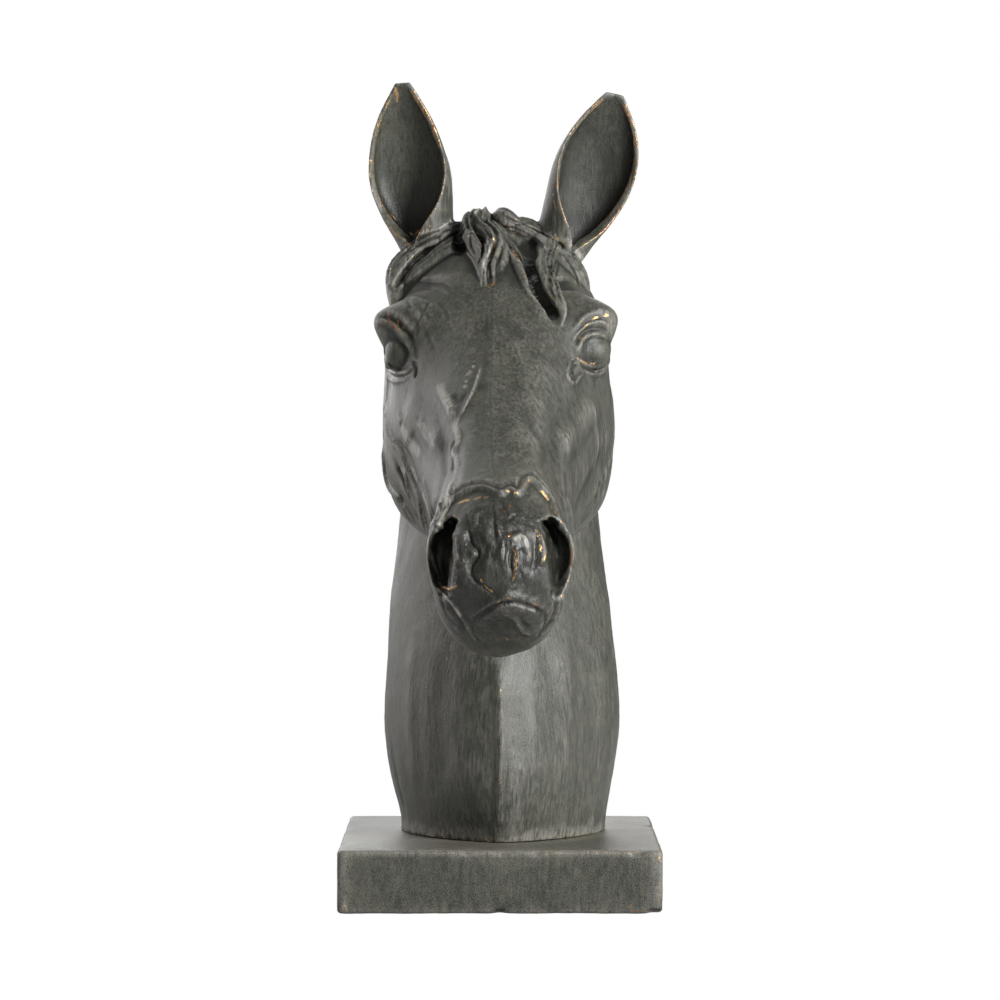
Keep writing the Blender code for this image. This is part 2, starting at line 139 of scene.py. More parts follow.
def standing_out(mesh, rounds):
    """How far each point stands out from its surroundings: the skin is evened by replacing every
    point with the mean of its neighbours, rounds times over, and the point's height above the
    evened skin is read along its normal. Ridges are above 0 and hollows below."""
    points, normals = mesh_points(mesh)
    edges = np.empty(2 * len(mesh.edges), int)
    mesh.edges.foreach_get("vertices", edges)
    ends = np.concatenate([edges.reshape(-1, 2), edges.reshape(-1, 2)[:, ::-1]])
    count = np.bincount(ends[:, 0], minlength=len(points))[:, None]
    evened = points.copy()
    for _ in range(rounds):
        around = [np.bincount(ends[:, 0], evened[ends[:, 1], axis], len(points)) for axis in range(3)]
        evened = np.stack(around, 1) / np.maximum(count, 1)
    return ((points - evened) * normals).sum(1)


def set_mask(mesh, name, values):
    """Stores one value from 0 to 1 a point, which the finish reads by its name."""
    mask = mesh.attributes.new(name, "FLOAT", "POINT")
    mask.data.foreach_set("value", np.clip(values, 0, 1).astype(np.float32))


def block_rings(low, high, radius, columns):
    """Rings of a block with round edges: its outline is a rectangle with quarter circles for its
    corners, read at even steps of its length. From the middle of the underside it grows outwards,
    turns up a quarter circle, climbs, and turns in over the top."""
    middle, half = (low + high) / 2, (high - low) / 2
    turn = (np.arange(4)[:, None] * math.pi / 2 + np.linspace(0, math.pi / 2, CORNER_STEPS)).ravel()
    corner = np.stack([np.cos(turn), np.sin(turn)], 1)
    side = np.repeat([[1, 1], [-1, 1], [-1, -1], [1, -1]], CORNER_STEPS, axis=0)
    outline = side * (half[:2] - radius) + radius * corner
    outline = np.concatenate([outline, outline[:1]])
    walked = np.concatenate([[0], np.cumsum(np.linalg.norm(np.diff(outline, axis=0), axis=1))])
    step = np.linspace(0, walked[-1], columns, endpoint=False)
    even = np.stack([np.interp(step, walked, outline[:, axis]) for axis in range(2)], 1)
    roll = np.linspace(0, math.pi / 2, EDGE_STEPS)
    rise, tuck = radius * (1 - np.cos(roll)), radius * (1 - np.sin(roll))
    flat = np.linspace(0.04, 0.96, FLAT_STEPS)
    shares = np.concatenate([flat, np.ones(2 * EDGE_STEPS + SIDE_STEPS), flat[::-1]])
    inset = np.concatenate([0 * flat + radius, tuck, np.zeros(SIDE_STEPS), rise, 0 * flat + radius])
    tall = 2 * half[2]
    straight = np.linspace(radius, tall - radius, SIDE_STEPS + 2)[1:-1]
    climb = np.concatenate([0 * flat, rise, straight, tall - tuck, 0 * flat + tall])
    spread = shares[:, None, None] * even * (1 - inset[:, None, None] / half[:2])
    height = np.broadcast_to(low[2] + climb[:, None, None], (len(shares), columns, 1))
    return np.concatenate([middle[:2] + spread, height], axis=2)


def worn_block(points, low, high):
    """The block's points drawn in by soft lumps and by round nicks, each a bell of its own radius."""
    middle, half = (low + high) / 2, (high - low) / 2
    out = (points - middle) / half
    inwards = -np.sign(out) * (np.abs(out) > 0.9) * (0.5 + 0.5 * np.abs(out))
    wander = sum(share * lumps(points, size, seed) for share, size, seed in PLINTH_LUMPS) - 1.2
    moved = points - PLINTH_UNEVEN * wander[:, None] * inwards
    for place, radius, depth in NICKS:
        gap = np.linalg.norm(points - (low + np.array(place) * (high - low)), axis=1) / radius
        moved += depth * np.exp(-(gap**2))[:, None] * inwards
    return moved


block_points, block_faces = closed_skin(block_rings(PLINTH_LOW, PLINTH_HIGH, PLINTH_ROUND, PLINTH_COLUMNS))
block_points = np.clip(worn_block(block_points, PLINTH_LOW, PLINTH_HIGH), PLINTH_LOW, PLINTH_HIGH)
plinth_block = new_piece("plinth_block", block_points, block_faces)
# edge: the block's edges lightened, partly as worn dry-brushing and partly as a painted highlight, and worn
# to metal
set_mask(plinth_block.data, "edge", standing_out(plinth_block.data, 12) / 0.0009)
# hollow: painted shade in the block's nicks and dents
set_mask(plinth_block.data, "hollow", -standing_out(plinth_block.data, 12) / 0.0005)
foot_gap = np.hypot(*((block_points[:, :2] - FOOT_MIDDLE) / FOOT_HALF).T) - 1
on_top = block_points[:, 2] > PLINTH_HIGH[2] - TOP_BAND
set_mask(plinth_block.data, "dust", on_top * (0.45 + 0.4 * np.exp(-((np.maximum(foot_gap, 0) / 0.06) ** 2))))
rubbed_block = np.zeros(len(block_points))
for half, *ends in PLINTH_RUBS:
    start, end = (PLINTH_LOW + np.array(place) * (PLINTH_HIGH - PLINTH_LOW) for place in ends)
    share = np.clip((block_points - start) @ (end - start) / ((end - start) @ (end - start)), 0, 1)
    gap = np.linalg.norm(block_points - start - share[:, None] * (end - start), axis=1)
    rubbed_block = np.maximum(rubbed_block, 1.8 - gap / half)
set_mask(plinth_block.data, "rub", rubbed_block)
# the block has no painted highlight and no glaze
for unused_mask in ("painted_highlight", "glaze"):
    set_mask(plinth_block.data, unused_mask, np.zeros(len(block_points)))


def add_node(tree, kind, **settings):
    """A node of the tree, with its settings and the values or links of its named inputs."""
    node = tree.nodes.new(kind)
    for name, value in settings.items():
        if name in ("links", "values"):
            continue
        setattr(node, name, value)
    for name, value in settings.get("values", {}).items():
        node.inputs[name].default_value = value
    for name, socket in settings.get("links", {}).items():
        tree.links.new(socket, node.inputs[name])
    return node


def blend_colours(tree, share, first, second):
    """One colour laid over another by a share from 0 to 1; each is a colour or a link."""
    node = add_node(tree, "ShaderNodeMix", data_type="RGBA")
    for place, value in ((0, share), (6, first), (7, second)):
        if isinstance(value, bpy.types.NodeSocket):
            tree.links.new(value, node.inputs[place])
        else:
            node.inputs[place].default_value = value if place == 0 else (*value, 1)
    return node.outputs[2]


def work_out(tree, operation, first, second=0.0, third=0.0, clamp=False):
    """One operation on up to three numbers or links."""
    node = add_node(tree, "ShaderNodeMath", operation=operation, use_clamp=clamp)
    for place, value in enumerate((first, second, third)):
        if isinstance(value, bpy.types.NodeSocket):
            tree.links.new(value, node.inputs[place])
        else:
            node.inputs[place].default_value = value
    return node.outputs[0]


def blend_values(tree, share, first, second):
    """One number laid over another by a share from 0 to 1: first + share (second - first)."""
    return work_out(tree, "MULTIPLY_ADD", share, work_out(tree, "SUBTRACT", second, first), first)


def step_between(tree, value, low, high):
    """0 below low and 1 above high, with a smooth rise between."""
    node = add_node(tree, "ShaderNodeMapRange", interpolation_type="SMOOTHSTEP",
                    values={"From Min": low, "From Max": high})
    tree.links.new(value, node.inputs["Value"])
    return node.outputs["Result"]


def speckle(tree, place, scale, detail, rough, stretch=(1, 1, 1)):
    """Random cloud from 0 to 1 on the object's own coordinates, drawn out along an axis by stretch."""
    drawn = add_node(tree, "ShaderNodeMapping", values={"Scale": stretch}, links={"Vector": place})
    cloud = add_node(tree, "ShaderNodeTexNoise", links={"Vector": drawn.outputs["Vector"]},
                     values={"Scale": scale, "Detail": detail, "Roughness": rough})
    return cloud.outputs["Fac"]


def make_bronze_effect():
    """The finish of the whole casting: charcoal brushed over with grey-green in upright streaks,
    painted shade in the hollows, ridges lightened partly as worn dry-brushing and partly as a painted
    highlight, a painted highlight in pale grey on marked places, and copper and gold where its edges
    are rubbed and in tiny flecks."""
    tree = bpy.data.node_groups.new("bronze_effect", "ShaderNodeTree")
    for name, kind, out, value in (
        ("Edge", "NodeSocketFloat", "INPUT", 0.0), ("Hollow", "NodeSocketFloat", "INPUT", 0.0),
        ("Dust", "NodeSocketFloat", "INPUT", 0.0), ("Glaze", "NodeSocketFloat", "INPUT", 0.0),
        ("Rub", "NodeSocketFloat", "INPUT", 0.0), ("Painted_Highlight", "NodeSocketFloat", "INPUT", 0.0),
        ("Brushed", "NodeSocketFloat", "INPUT", 1.0),
        ("Wear", "NodeSocketFloat", "INPUT", 0.5), ("Place", "NodeSocketVector", "INPUT", None),
        ("Colour", "NodeSocketColor", "OUTPUT", None), ("Roughness", "NodeSocketFloat", "OUTPUT", None),
        ("Metal", "NodeSocketFloat", "OUTPUT", None), ("Relief", "NodeSocketFloat", "OUTPUT", None),
    ):
        socket = tree.interface.new_socket(name, in_out=out, socket_type=kind)
        if value is not None:
            socket.default_value = value
    given = tree.nodes.new("NodeGroupInput").outputs
    place = given["Place"]
    streaks = speckle(tree, place, 480, 5, 0.66, (1, 1, 0.12))
    clouds = speckle(tree, place, 24, 4, 0.6, (1, 1, 0.5))
    mottle = speckle(tree, place, 230, 5, 0.65, (1, 1, 0.4))
    grain = speckle(tree, place, 1100, 3, 0.6)
    flecks = speckle(tree, place, 620, 2, 0.5)

    speckled = blend_values(tree, 0.5, mottle, grain)
    uneven = blend_values(tree, given["Brushed"], speckled, streaks)
    drifted = work_out(tree, "ADD", uneven, work_out(tree, "MULTIPLY_ADD", clouds, 0.55, -0.275))
    brushed = step_between(tree, drifted, 0.32, 0.72)
    colour = blend_colours(tree, brushed, CHARCOAL, GREY_GREEN)
    olive = work_out(tree, "MULTIPLY", step_between(tree, mottle, 0.45, 0.85), 0.4)
    colour = blend_colours(tree, olive, colour, OLIVE)
    pits = work_out(tree, "MULTIPLY", step_between(tree, grain, 0.5, 0.3), 0.6)
    colour = blend_colours(tree, pits, colour, SHADE_AND_PIT_DARK)
    # painted shade laid into the hollows
    colour = blend_colours(tree, work_out(tree, "MULTIPLY", given["Hollow"], 0.85), colour, SHADE_AND_PIT_DARK)
    colour = blend_colours(tree, work_out(tree, "MULTIPLY", given["Glaze"], 0.88), colour, GLAZE)
    dusty = work_out(tree, "MULTIPLY", given["Dust"], step_between(tree, streaks, 0.25, 0.6))
    colour = blend_colours(tree, work_out(tree, "MULTIPLY", dusty, 0.4), colour, DUST)
    # ridges lightened in pale grey: partly worn dry-brushing, partly a painted highlight
    ridge_wear_and_highlight = work_out(tree, "MULTIPLY", given["Edge"], step_between(tree, uneven, 0.3, 0.65))
    matt = work_out(tree, "SUBTRACT", 1.0, work_out(tree, "MULTIPLY", given["Glaze"], 0.75))
    ridge_wear_and_highlight = work_out(tree, "MULTIPLY", ridge_wear_and_highlight, work_out(tree, "MULTIPLY", matt, 0.6))
    colour = blend_colours(tree, ridge_wear_and_highlight, colour, RIDGE_WEAR_AND_HIGHLIGHT)
    # painted highlight in pale grey along the marked places
    painted_highlight = step_between(tree, given["Painted_Highlight"], 0.0, 1.0)
    painted_highlight = work_out(tree, "MULTIPLY", painted_highlight, step_between(tree, uneven, 0.25, 0.6))
    colour = blend_colours(tree, work_out(tree, "MULTIPLY", painted_highlight, 0.8), colour, PAINTED_HIGHLIGHT_COLOUR)

    broken = work_out(tree, "ADD", flecks, work_out(tree, "MULTIPLY_ADD", mottle, 0.7, -0.35))
    broken = step_between(tree, broken, 0.66, 0.72)
    worn = work_out(tree, "MULTIPLY", step_between(tree, given["Edge"], 0.6, 0.95), broken)
    worn = work_out(tree, "MULTIPLY", worn, given["Wear"], clamp=True)
    ragged = work_out(tree, "MULTIPLY_ADD", grain, 1.2, work_out(tree, "MULTIPLY_ADD", mottle, 1.2, -1.2))
    marks = step_between(tree, work_out(tree, "ADD", given["Rub"], ragged), 0.45, 0.65)
    dots = step_between(tree, flecks, 0.76, 0.8)
    dots = work_out(tree, "MULTIPLY", dots, step_between(tree, clouds, 0.45, 0.6))
    gold = work_out(tree, "MAXIMUM", worn, work_out(tree, "MULTIPLY", dots, 0.55))
    gold = work_out(tree, "MAXIMUM", gold, marks)
    metal_colour = blend_colours(tree, step_between(tree, clouds, 0.4, 0.6), COPPER, GOLD)
    colour = blend_colours(tree, gold, colour, metal_colour)

    rough = work_out(tree, "MULTIPLY_ADD", brushed, 0.14, 0.38)
    rough = work_out(tree, "SUBTRACT", rough, work_out(tree, "MULTIPLY", given["Glaze"], 0.18))
    relief = work_out(tree, "MULTIPLY_ADD", uneven, 0.5, work_out(tree, "MULTIPLY", mottle, 0.4))
    relief = work_out(tree, "ADD", relief, work_out(tree, "MULTIPLY", grain, 0.4))
    rugged = work_out(tree, "MULTIPLY", given["Glaze"], work_out(tree, "MULTIPLY", mottle, 1.4))
    relief = work_out(tree, "ADD", relief, rugged)
    done = tree.nodes.new("NodeGroupOutput").inputs
    for name, socket in (("Colour", colour), ("Roughness", rough), ("Metal", gold), ("Relief", relief)):
        tree.links.new(socket, done[name])
    return tree


# Colours of the finish, from the dark of its pits and of its painted shade to the metal that shows where it
# is rubbed.
# darkest paint, for the tiny pits and for the painted shade in the hollows
SHADE_AND_PIT_DARK = (0.010, 0.010, 0.008)
CHARCOAL = (0.028, 0.029, 0.023)
GREY_GREEN = (0.076, 0.077, 0.058)
OLIVE = (0.098, 0.095, 0.060)
GLAZE = (0.016, 0.016, 0.013)
DUST = (0.30, 0.27, 0.21)
# pale grey of the ridges: partly worn dry-brushing, partly a painted highlight
RIDGE_WEAR_AND_HIGHLIGHT = (0.22, 0.21, 0.19)
# painted highlight laid along marked ridges
PAINTED_HIGHLIGHT_COLOUR = (0.36, 0.35, 0.31)
COPPER = (0.36, 0.19, 0.10)
GOLD = (0.50, 0.34, 0.15)
bronze_effect = make_bronze_effect()


def bronze_material(name, wear, bump, brushed):
    """The bronze effect on one piece, which gives it its own masks and its amounts of wear and of
    upright brush marks."""
    material = bpy.data.materials.new(name)
    material.use_nodes = True
    tree = material.node_tree
    shader = tree.nodes["Principled BSDF"]
    shader.inputs["Specular IOR Level"].default_value = 0.5
    effect = add_node(tree, "ShaderNodeGroup", node_tree=bronze_effect)
    effect.inputs["Wear"].default_value = wear
    effect.inputs["Brushed"].default_value = brushed
    place = add_node(tree, "ShaderNodeTexCoord").outputs["Object"]
    tree.links.new(place, effect.inputs["Place"])
    # hollow carries painted shade, edge lightens ridges partly as a painted highlight, and the pale-grey
    # highlight mask is a painted highlight
    for mask in ("edge", "hollow", "dust", "glaze", "rub", "painted_highlight"):
        read = add_node(tree, "ShaderNodeAttribute", attribute_name=mask)
        tree.links.new(read.outputs["Fac"], effect.inputs[mask.title()])
    raised = add_node(tree, "ShaderNodeBump", values={"Strength": 1.0, "Distance": bump},
                      links={"Height": effect.outputs["Relief"]})
    for name, socket in (("Base Color", "Colour"), ("Roughness", "Roughness"), ("Metallic", "Metal")):
        tree.links.new(effect.outputs[socket], shader.inputs[name])
    tree.links.new(raised.outputs["Normal"], shader.inputs["Normal"])
    return material


plinth_block.data.materials.append(bronze_material("plinth_bronze_effect", 0.9, 0.0005, 0.2))
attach(plinth_block, "root")
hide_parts("plinth")

# The head
# The horse's head, cast in one with the neck. Its skin runs smoothly through cross sections set
# along the face, and its brows, nostril wings and nostrils are pushed out of or into that skin.

FIGURE_LOW, FIGURE_HIGH = (np.array(corner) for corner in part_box("horse_head"))
MM = (FIGURE_HIGH[2] - FIGURE_LOW[2]) / 547.2  # the carving is given in millimetres of a figure this tall

HEAD_TILT = math.radians(55)  # face line from the vertical
POLL = (25, 442)  # behind the figure's middle, and above its foot
POLL_LEAN, LEAN_REACH = 5, 110  # to the viewer's left, dying away down the face
FACE_DOWN = np.array([0, -math.sin(HEAD_TILT), -math.cos(HEAD_TILT)])
FACE_OUT = np.array([0, -math.cos(HEAD_TILT), math.sin(HEAD_TILT)])
CORE = -70  # t of the line that the hair is turned round

WIDTH_PLACES = (0.04, 0.18, 0.38, 0.6, 0.82, 0.96)
HEAD_SECTIONS = (  # s and t of the face line, s and t of the jaw line, then half widths between them
    (-10, -22, 16, -84, 10, 24, 34, 34, 26, 11),
    (4, 6, 24, -118, 18, 45, 62, 64, 52, 26),
    (38, 12, 50, -146, 27, 60, 78, 80, 70, 40),
    (78, 13, 88, -160, 33, 64, 79, 84, 80, 52),
    (118, 10, 128, -166, 34, 62, 76, 83, 80, 56),
    (158, 4, 166, -162, 30, 53, 69, 77, 74, 50),
    (198, -1, 200, -150, 26, 43, 57, 63, 58, 38),
    (238, -5, 235, -134, 22, 35, 48, 52, 47, 31),
    (276, -7, 270, -120, 20, 33, 43, 44, 37, 24),
    (312, -6, 304, -116, 21, 38, 46, 43, 33, 18),
    (342, -10, 332, -124, 21, 41, 47, 43, 32, 14),
    (364, -22, 352, -124, 18, 36, 43, 41, 30, 14),
    (379, -40, 366, -110, 12, 24, 32, 32, 25, 13),
    (385, -62, 376, -90, 4, 8, 11, 11, 9, 5),
)
SWELLINGS = (  # side, middle, reach and push of each swelling of the head's skin
    (-1, (66, 107, -17), (28, 24, 22), (25, -2, 9)),  # brow on the viewer's left
    (1, (66, 105, -17), (28, 26, 22), (23, -3, 9)),  # brow on the right
    (-1, (82, 90, -74), (16, 34, 26), (-5, 0, 0)),  # hollow under the left eye
    (-1, (62, 119, -29), (16, 16, 15), (-5, -1, -6)),  # eye sockets
    (1, (62, 119, -29), (16, 16, 15), (-5, -1, -6)),
    (-1, (45, 336, -42), (16, 24, 22), (3, 3, 2)),  # nostrils' wings
    (1, (45, 336, -42), (16, 24, 22), (3, 3, 2)),
)
NOSTRIL = ((33.5, 340, -28), (34.5, 344, -34), (34.5, 349, -41), (34, 355, -49), (31.5, 361, -57))
NOSTRIL_REACH = 13
NOSTRIL_SUNK = (-4, -26, -14)


def head_point(points):
    """Points (x, s, t) of the head's own frame put in the figure's: s runs down the face, t out of it."""
    x, s, t = np.moveaxis(np.asarray(points, float), -1, 0)
    placed = s[..., None] * FACE_DOWN + t[..., None] * FACE_OUT
    placed[..., 0] += x - POLL_LEAN * np.exp(-((s / LEAN_REACH) ** 2))
    placed[..., 1] += POLL[0]
    placed[..., 2] += POLL[1]
    return placed


def through(points, steps, closed=False):
    """A smooth curve through the points of the first axis, read at even steps: the cubic B-spline
    whose cage is solved so that (before + 4 own + after) / 6 gives each point back."""
    points = np.asarray(points, float)
    count = len(points)
    if closed:
        matrix = (4 * np.eye(count) + np.roll(np.eye(count), 1, 0) + np.roll(np.eye(count), -1, 0)) / 6
    else:
        matrix = (4 * np.eye(count) + np.eye(count, k=1) + np.eye(count, k=-1)) / 6
        matrix[0], matrix[-1] = 0, 0
        matrix[0, 0] = matrix[-1, -1] = 1
    cage = np.linalg.solve(matrix, points.reshape(count, -1)).reshape(points.shape)
    if closed:
        at = np.arange(steps) * count / steps
        wide = np.concatenate([cage[-1:], cage, cage[:3]])
    else:
        at = np.linspace(0, count - 1, steps)
        wide = np.concatenate([[2 * cage[0] - cage[1]], cage, [2 * cage[-1] - cage[-2]]])
    cell = np.minimum(at.astype(int), len(wide) - 4)
    u = (at - cell).reshape((-1,) + (1,) * (wide.ndim - 1))
    weights = ((1 - u) ** 3, 3 * u**3 - 6 * u**2 + 4, -3 * u**3 + 3 * u**2 + 3 * u + 1, u**3)
    return sum(weight * wide[cell + i] for i, weight in enumerate(weights)) / 6


def unit(vectors):
    """The vectors of the last axis, each at a length of one."""
    return vectors / np.linalg.norm(vectors, axis=-1, keepdims=True)


def along_way(points, way):
    """How far each point is from a way of straight runs, how far along it, from 0 to 1, its
    nearest place lies, and on which side of it, seen from the front: 1 on the right of the way
    as it is walked and -1 on the left, the sign of the cross product's part along Y."""
    nearest, place, side = np.full(len(points), np.inf), np.zeros(len(points)), np.ones(len(points))
    runs = len(way) - 1
    for number, (start, end) in enumerate(zip(way[:-1], way[1:])):
        run, offset = end - start, points - start
        share = np.clip(offset @ run / max(run @ run, 1e-9), 0, 1)
        gap = np.linalg.norm(offset - share[:, None] * run, axis=1)
        closer = gap < nearest
        nearest[closer] = gap[closer]
        place[closer] = (number + share[closer]) / runs
        turned = offset[closer, 2] * run[0] - offset[closer, 0] * run[2]
        side[closer] = np.where(turned < 0, 1, -1)
    return nearest, place, side


def both_sides(way):
    """A way of the head's frame and its mirror image, each smoothed and put in the figure's."""
    for side in (-1, 1):
        yield side, head_point(through(np.array(way) * (side, 1, 1), 4 * len(way)))


def swell(points, side, centre, reach, push):
    """Points moved by push times exp(-gap^2), the gap from the centre taken as shares of the reach;
    centre and push are given for the right side, and mirrored for side -1."""
    gap = (points - np.array(centre) * (side, 1, 1)) / np.array(reach)
    return points + np.exp(-(gap**2).sum(-1, keepdims=True)) * np.array(push) * (side, 1, 1)


def mirrored_ring(right):
    """A closed ring from the points of its right half, the first and last of them on x = 0."""
    return [*right, *((-x, s, t) for x, s, t in right[-2:0:-1])]


def grid_through(rings, rows, columns):
    """The smooth skin through a few closed rings: splines along it first, then round it."""
    lengthwise = through(rings, rows)
    return np.swapaxes(through(np.swapaxes(lengthwise, 0, 1), columns, closed=True), 0, 1)


def head_form(rows, columns):
    """The head's skin in its own frame: rings of half widths between the face and jaw lines,
    joined smoothly, then swelled."""
    rings = []
    for top_s, top_t, jaw_s, jaw_t, *halves in HEAD_SECTIONS:
        right = [(0, top_s, top_t)]
        for half, place in zip(halves, WIDTH_PLACES):
            right.append((half, top_s + (jaw_s - top_s) * place, top_t + (jaw_t - top_t) * place))
        rings.append(mirrored_ring([*right, (0, jaw_s, jaw_t)]))
    points = grid_through(rings, rows, columns)
    for swelling in SWELLINGS:
        points = swell(points, *swelling)
    return points


def head_rings(form):
    """The head's skin with its nostrils sunk by exp(-(gap / reach)^6), in the figure's frame; the
    reach narrows towards both ends of a nostril, as 0.7 + 1.2 p (1 - p) of its middle's."""
    points = form.copy()
    placed = head_point(points).reshape(-1, 3)
    for side, way in both_sides(NOSTRIL):
        gap, place, _ = along_way(placed, way)
        near = (gap / NOSTRIL_REACH / (0.7 + 1.2 * place * (1 - place))).reshape(points.shape[:2])
        points += np.exp(-(near**6))[..., None] * np.array(NOSTRIL_SUNK) * (side, 1, 1)
    return head_point(points)


head_skin = head_form(170, 200)
figure_forms = [closed_skin(head_rings(head_skin))]

# The neck
# The neck stands on the plinth on its own flat foot, with a keel down its front and a soft crest
# behind, and runs up into the skull.

NECK_PLACES = (0.05, 0.22, 0.44, 0.66, 0.86, 0.96)
NECK_SECTIONS = (  # height, x of the middle, y of the keel and of the crest, then half widths
    (-8, 2, -77, 111, 20, 53, 72, 71, 50, 26),
    (0, 2, -78, 112, 20, 53, 72.5, 71.5, 50, 26),
    (14, 2, -81, 115, 21, 54, 73.5, 72.5, 51, 26),
    (45, 1.5, -85, 119, 23, 58, 79.5, 79.5, 55, 27),
    (85, 1.5, -82, 123, 24, 60, 83, 83, 57, 28),
    (125, 1, -74, 126, 24, 59, 81, 80.5, 56, 27),
    (170, 0, -58, 127, 24, 56, 77.5, 77.5, 54, 26),
    (215, -0.5, -38, 125, 23, 53, 71.5, 72.5, 51, 25),
    (260, -1, -16, 120, 22, 50, 68, 69, 50, 24),
    (305, -2, 0, 112, 21, 46, 62, 62, 46, 22),
    (350, -3, 6, 102, 19, 42, 56, 56, 41, 19),
    (395, -4, 10, 85, 16, 36, 47, 46, 34, 15),
    (425, -5, 14, 62, 11, 25, 32, 31, 22, 10),
    (440, -5, 22, 44, 4, 9, 12, 12, 8, 4),
)


def neck_rings(rows, columns):
    """The neck's skin: rings of half widths between the keel and the crest, joined smoothly."""
    rings = []
    for height, middle, front, back, *halves in NECK_SECTIONS:
        right = [(0, front, height)]
        for half, place in zip(halves, NECK_PLACES):
            right.append((half, front + (back - front) * place, height))
        rings.append(np.array(mirrored_ring([*right, (0, back, height)])) + (middle, 0, 0))
    return grid_through(rings, rows, columns)


figure_forms.append(closed_skin(neck_rings(150, 130)))

# The ears
# Two pricked ears, each a thin wall that wraps round from the back, opens to the front and narrows
# to a tip. The right one leans out further.

EAR_WALL = 3.6
EAR_FILLED = 0.62  # depth of the hollow as a share of the outside's: the root of the wall is thick
EARS = {  # x, y and height of the root, the middle and the tip
    -1: ((-47, 20, 409), (-56.4, 21, 443), (-67.6, 18, 490), (-71.5, 12, 547)),
    1: ((35, 20, 409), (51.2, 21, 443), (70.8, 18, 488), (84, 12, 538.5)),
}
EAR_SECTIONS = {  # half width, depth as a share of it, wrap from the back and turn outwards in degrees
    -1: (
        (15, 0.95, 194, 36),
        (18, 0.95, 184, 36),
        (21, 0.95, 160, 35),
        (25.8, 0.9, 123, 30),
        (29, 0.85, 108, 20),
        (25.8, 0.8, 100, 12),
        (17.4, 0.75, 95, 8),
        (4, 0.7, 88, 8),
    ),
    1: (
        (15, 0.95, 194, 36),
        (18, 0.95, 184, 36),
        (20.5, 0.95, 160, 35),
        (25, 0.9, 123, 30),
        (28.7, 0.85, 108, 20),
        (27.4, 0.8, 100, 12),
        (19.5, 0.75, 95, 8),
        (5, 0.7, 88, 8),
    ),
}


def ear_rings(side, rows, columns):
    """One ear: an oval wall of reach w sin a across and -d cos a back, for a within its wrap, drawn
    once at its outside and back again at its inside."""
    way = through(EARS[side], rows)
    rise = unit(np.gradient(way, axis=0))
    half, share, wrap, turn = through(EAR_SECTIONS[side], rows).T
    turn = np.radians(turn) * side
    facing = np.stack([np.sin(turn), -np.cos(turn), np.zeros(rows)], axis=1)
    facing = unit(facing - (facing * rise).sum(1, keepdims=True) * rise)
    across = np.cross(rise, facing)
    outer = np.radians(wrap)[:, None] * np.linspace(-1, 1, columns)
    round_wall = np.concatenate([outer, outer[:, ::-1]], axis=1)[..., None]
    offset = np.repeat([0.5, -0.5], columns)[:, None] * EAR_WALL
    wide = np.maximum(half[:, None, None] + offset, 0.3)
    hollow = np.repeat([1.0, EAR_FILLED], columns)[:, None]
    deep = np.maximum((half * share)[:, None, None] * hollow + offset, 0.3)
    reach = wide * np.sin(round_wall) * across[:, None] - deep * np.cos(round_wall) * facing[:, None]
    return way[:, None] + reach


EAR_ROWS, EAR_COLUMNS = 60, 44
RIM_PLACES = (0, EAR_COLUMNS - 1, EAR_COLUMNS, 2 * EAR_COLUMNS - 1)  # edges of the wall, out and in
ear_rims = []
for side in EARS:
    ear = ear_rings(side, EAR_ROWS, EAR_COLUMNS)
    figure_forms.append(closed_skin(ear))
    ear_rims += [ear[EAR_ROWS // 5 :: 3, place] for place in RIM_PLACES]

# The eyes
# Round eyeballs set under the brows, each held by an upper and a lower lid that meet in a corner.

EYE = (67, 119.5, -29.5)
EYE_RADIUS = 13.5
EYE_LOOK = (0.72, 0.55, 0.4)  # way the eye looks, and the way to its inner corner
EYE_CORNER = (-0.36, 0.92, 0.1)
LID = 1.9  # radius of a lid's roll
LID_REACH = (18, 15)  # half axes of its oval, to the inner and the outer corner
LID_OPEN = (12, 11)  # and towards the brow and the cheek


def eye_ball(side, rows, columns):
    """A sphere: the eye's middle plus its radius times (sin a cos b, sin a sin b, cos a)."""
    high = np.linspace(0.02, math.pi - 0.02, rows)[:, None]
    turn = np.linspace(0, 2 * math.pi, columns, endpoint=False)
    across = np.sin(high)
    out = np.stack([across * np.cos(turn), across * np.sin(turn), np.cos(high) + 0 * turn], axis=2)
    return head_point(np.array(EYE) * (side, 1, 1)) - EYE_RADIUS * out * (1, 1, -1)


def lid_roll(side, steps, sides):
    """The lids: a round roll carried along an oval that lies on the eyeball, its long half axis
    towards the inner corner and its short one towards the brow."""
    look, corner = unit(np.array(EYE_LOOK)), np.array(EYE_CORNER)
    corner = unit(corner - (corner @ look) * look)
    brow = np.cross(corner, look)
    angle = np.linspace(0, 2 * math.pi, steps, endpoint=False)
    long = np.where(np.cos(angle) > 0, *LID_REACH) * np.cos(angle)
    tall = np.where(np.sin(angle) > 0, *LID_OPEN) * np.sin(angle)
    ahead = np.sqrt(np.maximum((EYE_RADIUS + 0.5) ** 2 - long**2 - tall**2, 16))
    way = EYE + ahead[:, None] * look + long[:, None] * corner + tall[:, None] * brow
    way = head_point(way * (side, 1, 1))
    along = unit(np.roll(way, -1, 0) - np.roll(way, 1, 0))
    out = way - head_point(np.array(EYE) * (side, 1, 1))
    out = unit(out - (out * along).sum(1, keepdims=True) * along)
    across = np.cross(along, out)
    turn = np.linspace(0, 2 * math.pi, sides, endpoint=False)[:, None]
    points = way[:, None] + LID * (np.cos(turn) * out[:, None] + np.sin(turn) * across[:, None])
    step, part = np.divmod(np.arange(steps * sides), sides)
    there, after = (step + 1) % steps * sides, (part + 1) % sides
    here = step * sides
    faces = np.stack([here + part, here + after, there + after, there + part], 1)
    return points.reshape(-1, 3), faces.tolist()


